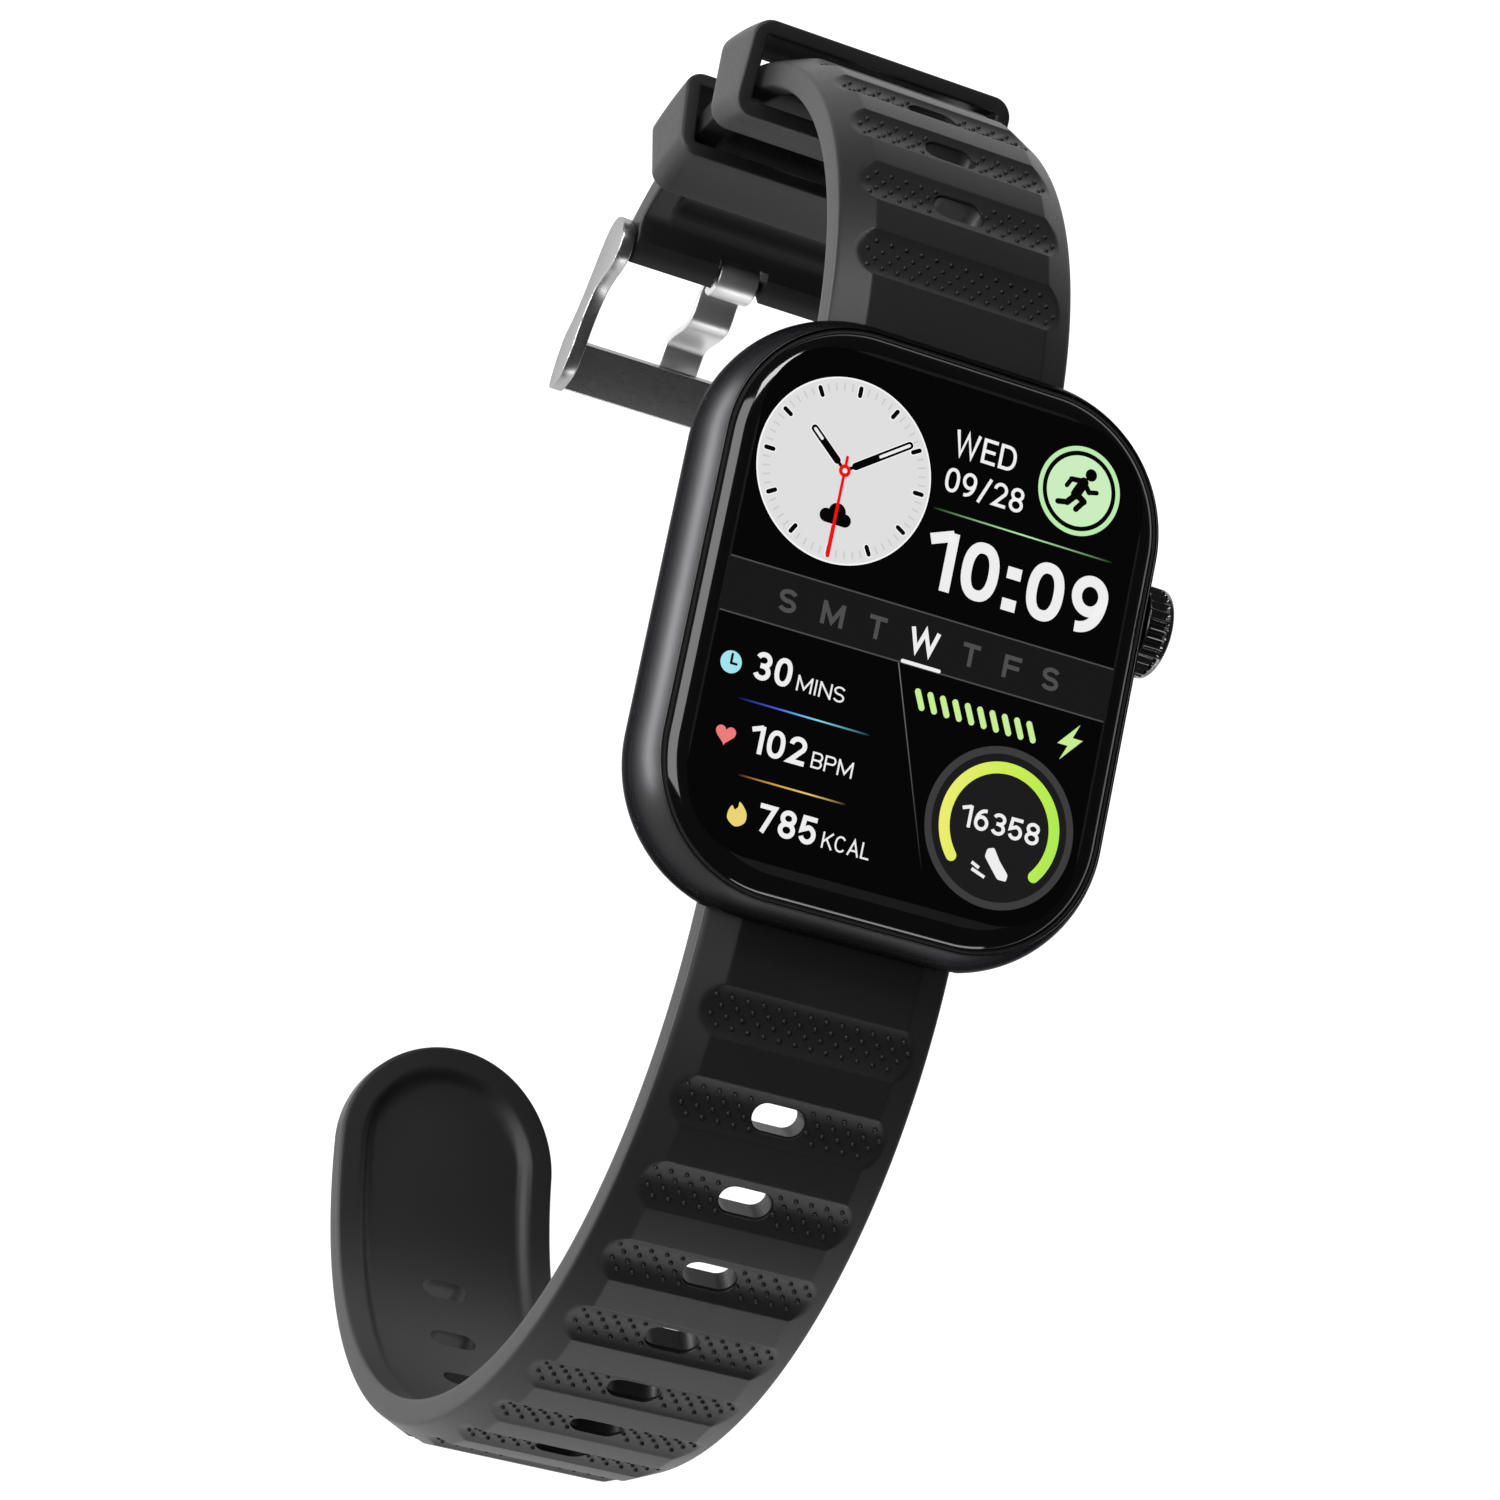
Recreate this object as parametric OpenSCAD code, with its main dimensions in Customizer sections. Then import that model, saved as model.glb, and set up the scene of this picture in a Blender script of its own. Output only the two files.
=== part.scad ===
// Smartwatch with a rounded rectangular case, a rotating crown and a two-piece
// grooved silicone strap with a tongue buckle and two loops.
//
// Frame: origin at the centre of the flat sensor window on the back of the case,
// +X towards the crown, +Y towards the 12 o'clock strap, +Z out of the display.
// Each strap lies along circular arcs in the YZ plane. An arc angle is 0 where the
// strap leaves the case flat and grows as the strap curls round towards the wrist.

/* [Case] */
// Width of the case across its widest line
case_width = 39.8; // [39.4:0.1:41]
// Length of the case from 12 to 6 o'clock
case_length = 47.8; // [47.4:0.1:49]
// Corner radius of the case at its widest line
case_corner = 12; // [11.5:0.1:12.5]
// Radius of the rounded side, seen in section
side_radius = 7.6; // [7.4:0.1:8.4]
// Height of the widest line above the sensor window
side_mid_z = 7.0; // [6.9:0.05:7.1]
// Height of the metal lip round the glass
rim_z = 10.95; // [10.9:0.01:11]
// Height of the top of the glass
glass_top = 11.6; // [11.5:0.1:11.8]
// Height of the metal back face
back_z = 1.0; // [0.9:0.05:1.1]

/* [Crown] */
// Radius of the crown cap
crown_r = 3.7; // [3.2:0.1:4]
// Thickness of the crown cap, partly sunk in a round seat in the case side
crown_len = 2.4; // [2:0.05:3]
// Place of the crown along the case
crown_y = 7; // [5:0.1:7.5]
// Number of grip flutes round the crown
crown_flutes = 30; // [20:1:36]

/* [Strap] */
// Width of the silicone strap
strap_w = 21.2; // [20.8:0.1:21.4]
// Width of its flat middle panel
panel_w = 15.6; // [14:0.1:17]
// Height of the side wall, from the wrist face to the bevel
wall_t = 2.2; // [2:0.1:2.4]
// Thickness at the middle panel
panel_t = 3.4; // [3.3:0.05:3.5]
// Depth of the hollow panel in the wrist face
recess_t = 0.8; // [0.4:0.1:1]
// Distance between two grooves, along the panel
groove_pitch = 7.35; // [7:0.05:7.6]
// Radius of a groove's hollow cylinder
groove_r = 3.6; // [3.4:0.1:4]
// Depth of a groove in the panel
groove_depth = 0.57; // [0.4:0.01:0.7]
// Length of a buckle slot, across the strap
slot_len = 4.4; // [4:0.1:5]
// Width of a buckle slot, along the strap
slot_w = 2.3; // [2:0.1:2.6]

/* [Buckle] */
// Outer width of the buckle frame
buckle_w = 24.2; // [24:0.1:25]
// Thickness of the frame's side arms
arm_t = 1.3; // [1.2:0.05:1.4]
// Width of the tongue
tongue_w = 3.9; // [3.5:0.1:4.1]

/* [Loops] */
// Length of a loop along the strap
loop_len = 7.0; // [6:0.1:7.5]
// Wall thickness of a loop
loop_wall = 1.4; // [1.2:0.1:1.5]
// Clear height inside a loop
loop_open = 5.8; // [5.4:0.1:6]

/* [Hidden] */
$fn = 64;
eps = 0.01;

// case, glass and display outlines, as half sizes
half_w = case_width / 2;
half_l = case_length / 2;
lip_inset = 1.25;
glass_inset = 1.6;
glass_edge = 1.5;
glass_drop = 0.7;
glass_seat_z = 10.4;
ledge_z = 10.1;
panel_inset = 2.7;
panel_z = 9.0;
bracket_z = 8.0;
cavity_w = 33.6;
cavity_l = 36.4;
cavity_r = 7;
cavity_z = 2.4;
cover_w = 32;
cover_l = 36.2;
cover_r = 8.2;
cover_t = 0.9;
cover_gap = 0.1;
opening_w = 29.6;
opening_l = 33.8;
opening_r = 10;
screw_x = 12.6;
screw_y = 14.8;
window_r = 8.5;
contact_y = -14.6;
contact_gap = 4;

// strap ends and the pockets in the case
bar_y = 20.9;
bar_z = 5.25;
lug_r = panel_t / 2;
pocket_w = 21.6;
pocket_back = 19.0;
pocket_top = 7.45;
bar_r = 0.85;
bar_bore = 0.9;
tip_r = 0.42;
tip_hole = 0.47;
tip_len = 0.9;
release_travel = 1.0;

// strap arcs: centre as [y, z], wrist-face radius, and angles in degrees
upper_c = [20.85, -26.55];
upper_r = 30.1;
upper_end = 136;
lower_c = [20.1, -39.45];
lower_r = 43.0;
tail_c = [24.3, -39.45];
tail_r = 38.8;
tail_end = 173;
lower_first = 13.5;
upper_first = 17.4;
lower_slots = 13;
upper_grooves = 8;

// buckle: bar axis, direction of the frame and its lengths
bar_angle = 136;
bar_arc_r = 30.4;
knuckle_r = 2.1;
frame_dir = 149;
frame_len = 15.1;
strip_near = 10.3;
strip_low = 1.45;
free_loop_angle = 87;
buckle_loop_angle = 112;

function arc_y(c, r, a) = c[0] + r * sin(a);
function arc_z(c, r, a) = c[1] + r * cos(a);
buckle_y = arc_y(upper_c, bar_arc_r, bar_angle);
buckle_z = arc_z(upper_c, bar_arc_r, bar_angle);

// ---------------------------------------------------------------- helpers
// a slab with rounded corners, from z0 to z1
module slab(w, l, r, z0, z1) {
    translate([0, 0, z0]) linear_extrude(z1 - z0) union() {
        square([w - 2 * r, l], center = true);
        square([w, l - 2 * r], center = true);
        for (sx = [-1, 1], sy = [-1, 1])
            translate([sx * (w / 2 - r), sy * (l / 2 - r)]) circle(r);
    }
}

// sweeps a half section, drawn with x from the corner's centre and y as height,
// round a rectangle whose corner centres are at (+-cx, +-cy)
module swept(cx, cy, z0, z1) {
    for (q = [0 : 3]) {
        sx = (q == 0 || q == 3) ? 1 : -1;
        sy = (q < 2) ? 1 : -1;
        translate([sx * cx, sy * cy, 0]) rotate([0, 0, q * 90])
            rotate_extrude(angle = 90) children();
    }
    for (s = [0, 180]) {
        rotate([0, 0, s]) translate([cx, cy, 0]) rotate([90, 0, 0])
            linear_extrude(2 * cy) children();
        rotate([0, 0, s + 90]) translate([cy, cx, 0]) rotate([90, 0, 0])
            linear_extrude(2 * cx) children();
    }
    translate([-cx, -cy, z0]) cube([2 * cx, 2 * cy, z1 - z0]);
}

// a shape drawn as [radius, x], turned about the X axis through c from a0 to a1
module on_arc(c, a0, a1) {
    translate([0, c[0], c[1]]) rotate([0, 90, 0]) rotate([0, 0, 180 - a1])
        rotate_extrude(angle = a1 - a0, $fn = 180) children();
}

// puts a child, drawn with +Z outwards and +Y along the strap, on an arc
module at_arc(c, r, a) {
    translate([0, arc_y(c, r, a), arc_z(c, r, a)]) rotate([-a, 0, 0]) children();
}

module x_rod(r, x0, x1) {
    translate([x0, 0, 0]) rotate([0, 90, 0]) cylinder(r = r, h = x1 - x0);
}

// ---------------------------------------------------------------- case
// half section of the case side: a round bulge about the widest line
module side_section() {
    bulge_x = case_corner - side_radius;
    union() {
        translate([0, back_z]) square([bulge_x, rim_z - back_z]);
        intersection() {
            translate([bulge_x, side_mid_z]) circle(side_radius, $fn = 128);
            translate([0, back_z]) square([case_corner + 1, rim_z - back_z]);
        }
    }
}

module strap_pocket() {
    translate([-pocket_w / 2, pocket_back, -eps])
        cube([pocket_w, half_l, pocket_top + eps]);
    translate([0, bar_y, bar_z])
        x_rod(tip_hole, -pocket_w / 2 - 1.3, pocket_w / 2 + 1.3);
}

module case_frame() {
    cx = half_w - case_corner;
    cy = half_l - case_corner;
    color("#2b2c2f") difference() {
        union() {
            difference() {
                swept(cx, cy, back_z, rim_z) side_section();
                slab(cavity_w, cavity_l, cavity_r, cavity_z, bracket_z + eps);
            }
            for (sx = [-1, 1], sy = [-1, 1])
                translate([sx * screw_x, sy * screw_y, cavity_z - eps])
                    cylinder(r = 1.4, h = 2.6);
        }
        slab(case_width - 2 * lip_inset, case_length - 2 * lip_inset,
             case_corner - lip_inset, ledge_z, rim_z + 1);
        slab(case_width - 2 * panel_inset + 0.4, case_length - 2 * panel_inset + 0.4,
             case_corner - panel_inset, bracket_z, ledge_z + eps);
        slab(cover_w + 0.1, cover_l + 0.1, cover_r, back_z - 1, back_z + cover_t + cover_gap);
        slab(opening_w, opening_l, opening_r, back_z, cavity_z + eps);
        for (sx = [-1, 1], sy = [-1, 1])
            translate([sx * screw_x, sy * screw_y, back_z])
                cylinder(r = 0.6, h = 3.4);
        strap_pocket();
        mirror([0, 1, 0]) strap_pocket();
        translate([0, crown_y, side_mid_z]) {
            x_rod(1.72, cavity_w / 2 - 1, half_w + 1);
            x_rod(crown_r + 0.15, half_w - 1, half_w + 1);
        }
    }
}

module back_cover() {
    color("#141416") difference() {
        union() {
            slab(cover_w, cover_l, cover_r - 0.05, back_z, back_z + cover_t);
            translate([0, 0, 0.4]) cylinder(r1 = 10.6, r2 = 12.6, h = back_z - 0.4 + eps);
        }
        translate([0, 0, 0.3]) cylinder(r = window_r + 0.05, h = 0.65);
        cylinder(r = 6.5, h = 4);
        for (s = [-1, 1]) {
            translate([s * contact_gap / 2, contact_y, 0]) cylinder(r = 1.12, h = 4);
        }
        for (sx = [-1, 1], sy = [-1, 1])
            translate([sx * screw_x, sy * screw_y, 0]) {
                cylinder(r = 0.7, h = 4);
                translate([0, 0, back_z - eps]) cylinder(r = 1.2, h = 0.5);
            }
    }
}

module back_gasket() {
    color("#303030") difference() {
        slab(cover_w - 1.4, cover_l - 1.4, cover_r - 0.7, back_z + cover_t,
             back_z + cover_t + cover_gap);
        slab(opening_w + 0.2, opening_l + 0.2, opening_r, back_z, cavity_z);
        for (sx = [-1, 1], sy = [-1, 1])
            translate([sx * screw_x, sy * screw_y, back_z]) cylinder(r = 0.9, h = 3);
    }
}

module back_screws() {
    color("#6a6a6c") for (sx = [-1, 1], sy = [-1, 1])
        translate([sx * screw_x, sy * screw_y, back_z + 0.02]) difference() {
            union() {
                cylinder(r = 1.1, h = 0.45);
                cylinder(r = 0.58, h = 2.9);
            }
            translate([0, 0, -1]) cylinder(r = 0.42, h = 1.25, $fn = 6);
        }
}

module sensor_window() {
    color("#101114") cylinder(r = window_r, h = 0.94);
}

module sensor_board() {
    color("#1d5a34") union() {
        translate([0, 0, 2.1]) cylinder(r = 7.6, h = 0.7);
        for (a = [0 : 90 : 270])
            rotate([0, 0, a]) translate([3.4, -0.8, 1.3]) cube([1.6, 1.6, 0.9]);
        translate([-1.1, -1.1, 1.2]) cube([2.2, 2.2, 1.0]);
    }
}

module charge_contacts() {
    color("#c9a14a") for (s = [-1, 1])
        translate([s * contact_gap / 2, contact_y, back_z - 0.05]) {
            cylinder(r = 1.1, h = 1.3);
            cylinder(r = 0.5, h = 3.2);
        }
}

// ---------------------------------------------------------------- display
// half section of the glass: square below, rounded off at its top edge
module glass_section() {
    corner = case_corner - glass_inset;
    round_r = (glass_edge * glass_edge + glass_drop * glass_drop) / (2 * glass_drop);
    flat = corner - glass_edge;
    union() {
        translate([0, glass_seat_z]) square([flat, glass_top - glass_seat_z]);
        intersection() {
            translate([flat, glass_top - round_r]) circle(round_r, $fn = 96);
            translate([0, glass_seat_z]) square([corner, 2]);
        }
    }
}

module cover_glass() {
    color("#0a0b0d") swept(half_w - case_corner, half_l - case_corner,
                           glass_seat_z, glass_top) glass_section();
}

module glass_gasket() {
    outer_w = case_width - 2 * lip_inset - 0.02;
    outer_l = case_length - 2 * lip_inset - 0.02;
    glass_w = case_width - 2 * glass_inset;
    glass_l = case_length - 2 * glass_inset;
    color("#050505") difference() {
        slab(outer_w, outer_l, case_corner - lip_inset, ledge_z, glass_seat_z + 0.3);
        slab(glass_w + 0.02, glass_l + 0.02, case_corner - glass_inset, glass_seat_z,
             glass_top);
        slab(glass_w - 1.6, glass_l - 1.6, case_corner - panel_inset, 0, glass_top);
    }
}

module display_panel() {
    color("#16181c") slab(case_width - 2 * panel_inset, case_length - 2 * panel_inset,
                          case_corner - panel_inset, panel_z, glass_seat_z);
}

module display_flex() {
    color("#b98a3c") translate([-4, -17.8, 5.5]) cube([8, 0.2, panel_z - 5.5]);
}

module inner_bracket() {
    color("#3c3e42") difference() {
        slab(case_width - 2 * panel_inset, case_length - 2 * panel_inset,
             case_corner - panel_inset, bracket_z + 0.05, panel_z - 0.2);
        translate([-4.6, -18.2, 7]) cube([9.2, 1.0, 3]);
        translate([-13, -5.5, 7]) cube([20, 16.5, 3]);
        translate([12.3, crown_y - 2.1, 7]) cube([6, 4.2, 3]);
    }
}

// ---------------------------------------------------------------- electronics
module mainboard() {
    color("#12502c") union() {
        translate([-11, -17.4, 4.6]) cube([22, 8.6, 0.8]);
        translate([5.2, -16.4, 5.4]) cube([4, 4, 0.9]);
        translate([6.2, -11.6, 5.4]) cube([3, 1.6, 1.2]);
    }
}

module shield_can() {
    color("#b9bcc0") translate([-9.6, -16.6, 5.4]) cube([13, 7, 1.6]);
}

module battery() {
    color("#8d9096") translate([-14.5, -7.6, 3.3]) cube([22.5, 21, 4.2]);
}

module vibration_motor() {
    color("#a6a8ab") translate([12.4, -4.6, 4.2]) cylinder(r = 3.9, h = 2.8);
}

module antenna_flex() {
    color("#c08a3e") translate([-9, 17.6, 3.6]) cube([18, 0.25, 3.4]);
}

// ---------------------------------------------------------------- crown
module crown_tube() {
    color("#9a9a9c") translate([0, crown_y, side_mid_z]) difference() {
        x_rod(1.7, cavity_w / 2 - 0.6, half_w - 1.2);
        x_rod(0.9, 0, half_w + 1);
        x_rod(1.3, half_w - 3, half_w - 2);
    }
}

module crown_switch() {
    color("#26282b") translate([0, crown_y, side_mid_z]) difference() {
        translate([9.6, -2.2, -1.8]) cube([2.8, 4.4, 2.6]);
        x_rod(0.55, 11.3, 13);
    }
}

module crown_plunger() {
    color("#e0e0e0") translate([0, crown_y, side_mid_z]) x_rod(0.5, 11.9, 13.0);
}

module crown_stem() {
    color("#8e8e90") translate([0, crown_y, side_mid_z]) union() {
        x_rod(0.85, 13.05, half_w + 0.7);
        x_rod(1.4, 13.05, 13.6);
    }
}

module crown_seal() {
    color("#202020") translate([half_w - 2.35, crown_y, side_mid_z]) rotate([0, 90, 0])
        rotate_extrude() translate([1.05, 0]) circle(0.19, $fn = 24);
}

module crown_cap() {
    face_x = half_w - 0.65;
    edge = 0.24;
    color("#1c1d1f") translate([0, crown_y, side_mid_z]) difference() {
        union() {
            x_rod(crown_r, face_x, face_x + crown_len - edge);
            translate([face_x + crown_len - edge, 0, 0]) rotate([0, 90, 0])
                cylinder(r1 = crown_r, r2 = crown_r - edge, h = edge);
        }
        x_rod(0.86, face_x - 1, half_w + 0.71);
        for (i = [0 : crown_flutes - 1])
            rotate([i * 360 / crown_flutes, 0, 0]) translate([0, 0, crown_r + 0.1])
                x_rod(0.26, face_x + 0.2, face_x + crown_len - edge - 0.2);
    }
}

// ---------------------------------------------------------------- straps
// section of the strap as [radius, x]: panel, bevels and side walls
module strap_section(r) {
    w = strap_w / 2;
    p = panel_w / 2;
    polygon([[r, -w], [r + wall_t, -w], [r + panel_t, -p],
             [r + panel_t, p], [r + wall_t, w], [r, w]]);
}

// section of the hollow in the wrist face, with sloping sides
module recess_section(r) {
    polygon([[r - 1, -8.6], [r, -8.6], [r + recess_t, -7.4],
             [r + recess_t, 7.4], [r, 8.6], [r - 1, 8.6]]);
}

module groove(c, r, a) {
    at_arc(c, r + panel_t - groove_depth + groove_r, a)
        x_rod(groove_r, -strap_w / 2 - 1, strap_w / 2 + 1, $fn = 96);
}

module slot(c, r, a) {
    at_arc(c, r - 1, a) for (s = [-1, 1]) {
        translate([s * (slot_len - slot_w) / 2, 0, 0])
            cylinder(r = slot_w / 2, h = panel_t + 2);
        if (s > 0) translate([-(slot_len - slot_w) / 2, -slot_w / 2, 0])
            cube([slot_len - slot_w, slot_w, panel_t + 2]);
    }
}

// round end that turns on the spring bar
module strap_lug() {
    translate([0, bar_y, bar_z]) x_rod(lug_r, -strap_w / 2, strap_w / 2);
}

module lug_bore() {
    translate([0, bar_y, bar_z]) {
        x_rod(bar_bore, -strap_w, strap_w);
        translate([4.6, -lug_r - 1, -lug_r - 1]) cube([4.4, 2 * lug_r + 0.6, lug_r + 1]);
    }
}

module upper_strap() {
    pitch = groove_pitch / (upper_r + panel_t) * 180 / PI;
    color("#232325") difference() {
        union() {
            strap_lug();
            on_arc(upper_c, 0.1, upper_end) strap_section(upper_r);
            translate([0, buckle_y, buckle_z]) x_rod(knuckle_r, -strap_w / 2, strap_w / 2);
            at_arc(upper_c, upper_r + lug_r, upper_end) x_rod(lug_r, -panel_w / 2, panel_w / 2);
        }
        on_arc(upper_c, 9, upper_end - 9) recess_section(upper_r);
        for (i = [0 : upper_grooves - 1]) groove(upper_c, upper_r, upper_first + i * pitch);
        for (i = [1 : upper_grooves - 1]) slot(upper_c, upper_r, upper_first + i * pitch);
        lug_bore();
        translate([0, buckle_y, buckle_z]) {
            x_rod(0.8, -strap_w, strap_w);
            rotate([-bar_angle, 0, 0]) translate([-2.4, -2.4, -6]) cube([4.8, 8, 12]);
        }
    }
}

// a bar inside the strap where its two arcs meet, so that they are one solid
module arc_joint() {
    translate([-8, lower_c[0] + lower_r + 1, lower_c[1] - 0.5])
        cube([16, panel_t - 1.5, 1]);
}

// everything on the tail up to angle a, and a round end of radius r beyond it
module round_end(r, a) {
    at_arc(tail_c, tail_r, a) {
        translate([0, 0, -20]) cylinder(r = r, h = 40);
        translate([-strap_w, -100, -60]) cube([2 * strap_w, 100, 100]);
    }
}

// the lower strap is drawn on the +Y side and mirrored into place
module lower_strap() {
    pitch = groove_pitch / (lower_r + panel_t) * 180 / PI;
    tail_pitch = groove_pitch / (tail_r + panel_t) * 180 / PI;
    on_first = floor((90 - lower_first) / pitch);
    carry = (90 - lower_first - on_first * pitch) / pitch;
    tail_first = 90 + (1 - carry) * tail_pitch;
    tail_slots = lower_slots - on_first;
    round_start = tail_end - strap_w / 2 / tail_r * 180 / PI;
    color("#232325") mirror([0, 1, 0]) difference() {
        union() {
            strap_lug();
            on_arc(lower_c, 1, 90) strap_section(lower_r);
            arc_joint();
            intersection() {
                on_arc(tail_c, 90, tail_end + 2) strap_section(tail_r);
                round_end(strap_w / 2 + 0.02, round_start);
            }
        }
        on_arc(lower_c, 8, 90) recess_section(lower_r);
        intersection() {
            on_arc(tail_c, 90, tail_end + 2) recess_section(tail_r);
            round_end(8.62, round_start);
        }
        for (i = [0 : on_first]) groove(lower_c, lower_r, lower_first + i * pitch);
        for (i = [1 : on_first]) slot(lower_c, lower_r, lower_first + i * pitch);
        for (i = [0 : tail_slots - 1]) {
            groove(tail_c, tail_r, tail_first + i * tail_pitch);
            slot(tail_c, tail_r, tail_first + i * tail_pitch);
        }
        lug_bore();
    }
}

// ---------------------------------------------------------------- spring bars
// each bar is a tube with a fixed tip at -X and a sprung tip with a lever at +X
module bar_tube() {
    translate([0, bar_y, bar_z]) difference() {
        x_rod(bar_r, -strap_w / 2 + 0.2, strap_w / 2 - 0.2);
        x_rod(0.55, 0, strap_w);
        x_rod(0.55, -strap_w, -strap_w / 2 + 2);
        translate([4.8, -0.3, -2]) cube([3.2, 0.6, 2]);
    }
}

module bar_pin() {
    translate([0, bar_y, bar_z]) union() {
        x_rod(tip_r, -pocket_w / 2 - tip_len, -strap_w / 2 + 0.5);
        x_rod(0.53, -strap_w / 2 + 0.3, -strap_w / 2 + 1.9);
    }
}

// the spring is drawn at its pressed length
module bar_spring() {
    translate([0, bar_y, bar_z]) difference() {
        x_rod(0.5, 0.2, 3.6);
        x_rod(0.3, -1, 5);
    }
}

module release_pin() {
    translate([0, bar_y, bar_z]) union() {
        x_rod(0.5, 3.6 + release_travel + 0.1, strap_w / 2 - 0.4);
        x_rod(tip_r, strap_w / 2 - 0.5, pocket_w / 2 + tip_len);
        translate([6.2, -0.22, -1.9]) cube([1.2, 0.44, 1.9]);
        translate([6.8, 0, -2.5]) cylinder(r = 0.8, h = 0.7);
    }
}

module upper_bar_tube() { color("#b5b7ba") bar_tube(); }
module upper_bar_pin() { color("#c2c4c6") bar_pin(); }
module upper_bar_spring() { color("#8a8c8e") bar_spring(); }
module upper_release_pin() { color("#c2c4c6") release_pin(); }
module lower_bar_tube() { color("#b5b7ba") mirror([0, 1, 0]) bar_tube(); }
module lower_bar_pin() { color("#c2c4c6") mirror([0, 1, 0]) bar_pin(); }
module lower_bar_spring() { color("#8a8c8e") mirror([0, 1, 0]) bar_spring(); }
module lower_release_pin() { color("#c2c4c6") mirror([0, 1, 0]) release_pin(); }

// ---------------------------------------------------------------- loops
// a rectangular ring with rounded outer corners, bent along the strap's arc
module strap_loop(a) {
    mid = upper_r + panel_t / 2;
    half_a = loop_len / mid * 90 / PI;
    open_w = strap_w / 2 + 0.4;
    out_w = open_w + loop_wall;
    r0 = mid - loop_open / 2 - loop_wall;
    r1 = mid + loop_open / 2 + loop_wall;
    corner = 1.8;
    on_arc(upper_c, a - half_a, a + half_a) difference() {
        union() {
            translate([r0 + corner, -out_w]) square([r1 - r0 - 2 * corner, 2 * out_w]);
            translate([r0, -out_w + corner]) square([r1 - r0, 2 * (out_w - corner)]);
            for (r = [r0 + corner, r1 - corner], s = [-1, 1])
                translate([r, s * (out_w - corner)]) circle(corner);
        }
        translate([r0 + loop_wall, -open_w]) square([loop_open, 2 * open_w]);
    }
}

module free_loop() { color("#202022") strap_loop(free_loop_angle); }
module buckle_loop() { color("#202022") strap_loop(buckle_loop_angle); }

// ---------------------------------------------------------------- buckle
// children are drawn with +Y along the frame, away from the bar, and +Z outwards
module in_buckle() {
    translate([0, buckle_y, buckle_z]) rotate([-frame_dir, 0, 0]) children();
}

module buckle_bar() {
    reach = buckle_w / 2 - arm_t + 0.8;
    color("#b8babd") translate([0, buckle_y, buckle_z]) union() {
        x_rod(0.75, -strap_w / 2 + 0.1, strap_w / 2 - 0.1);
        x_rod(0.4, -reach, reach);
    }
}

// side view of an arm: round head, slim neck and a far end that tapers to a point
module arm_outline() {
    head_r = 2.45;
    head_w = -0.4;
    union() {
        translate([0, head_w]) circle(head_r);
        polygon([[-0.9, 1.85], [1.7, 2.05], [4.4, 2.1], [8.1, 2.25], [10.4, 2.8],
                 [12.2, 2.55], [frame_len, 1.75], [frame_len, 1.1], [12.8, -0.45],
                 [10.8, -0.65], [8.7, -0.4], [6, -0.35], [4.4, -0.65], [3.2, -1.3],
                 [2.2, -1.9], [0, -2.6]]);
    }
}

module buckle_frame() {
    inner = buckle_w / 2 - arm_t;
    strip_far = frame_len - 0.15;
    color("#b4b6b9") in_buckle() difference() {
        union() {
            for (x = [-buckle_w / 2, inner])
                translate([x, 0, 0]) rotate([90, 0, 90]) linear_extrude(arm_t) arm_outline();
            translate([-inner - eps, 0, 0]) rotate([90, 0, 90])
                linear_extrude(2 * inner + 2 * eps)
                    polygon([[strip_near, strip_low], [strip_far, strip_low],
                             [strip_far, strip_low + 0.4], [strip_near, strip_low + 1.15]]);
        }
        x_rod(0.45, -inner - 0.95, inner + 0.95);
    }
}

// the tongue's middle line, as height over the bar's axis, at distance y from it:
// level off the roll, a shallow dip, a steep step outwards and a falling tip
function tongue_mid(y) =
    y < 2.4 ? 1.6 :
    y < 4.6 ? 1.6 - 0.15 * (1 - cos(180 * (y - 2.4) / 2.2)) :
    y < 9 ? 1.3 + 2.0 * (1 - cos(180 * (y - 4.6) / 4.4)) : 5.3 - 0.13 * (y - 9);
function tongue_slope(y) = atan2(tongue_mid(y + 0.02) - tongue_mid(y - 0.02), 0.04);

// side view of the tongue from the roll to its tip, over the frame's far strip
module tongue_outline() {
    half_t = 0.4;
    tip = 15.2;
    ys = [for (i = [0 : 38]) 0.3 + (tip - 0.3) * i / 38];
    polygon(concat(
        [for (y = ys) [y - half_t * sin(tongue_slope(y)),
                       tongue_mid(y) + half_t * cos(tongue_slope(y))]],
        [for (i = [38 : -1 : 0])
            [ys[i] + half_t * sin(tongue_slope(ys[i])),
             tongue_mid(ys[i]) - half_t * cos(tongue_slope(ys[i]))]]));
}

module buckle_tongue() {
    shank_w = tongue_w - 0.1;
    color("#c0c2c5") in_buckle() difference() {
        union() {
            x_rod(2.05, -tongue_w / 2, tongue_w / 2);
            translate([-shank_w / 2, 0, 0]) rotate([90, 0, 90])
                linear_extrude(shank_w) tongue_outline();
        }
        x_rod(0.8, -tongue_w, tongue_w);
    }
}

// ---------------------------------------------------------------- build
case_frame();
back_cover();
back_gasket();
back_screws();
sensor_window();
sensor_board();
charge_contacts();
cover_glass();
glass_gasket();
display_panel();
display_flex();
inner_bracket();
mainboard();
shield_can();
battery();
vibration_motor();
antenna_flex();
crown_tube();
crown_switch();
crown_plunger();
crown_stem();
crown_seal();
crown_cap();
upper_strap();
lower_strap();
upper_bar_tube();
upper_bar_pin();
upper_bar_spring();
upper_release_pin();
lower_bar_tube();
lower_bar_pin();
lower_bar_spring();
lower_release_pin();
free_loop();
buckle_loop();
buckle_bar();
buckle_frame();
buckle_tongue();
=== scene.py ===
"""Smartwatch with a grooved silicone strap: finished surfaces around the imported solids.

Lengths are in millimetres in this file and become metres when a mesh is made.
Frame: origin at the sensor window, +X to the crown, +Y to 12 o'clock, +Z out of the display.
"""
import math
import bpy
import numpy as np
from mathutils import Matrix, Vector


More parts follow.
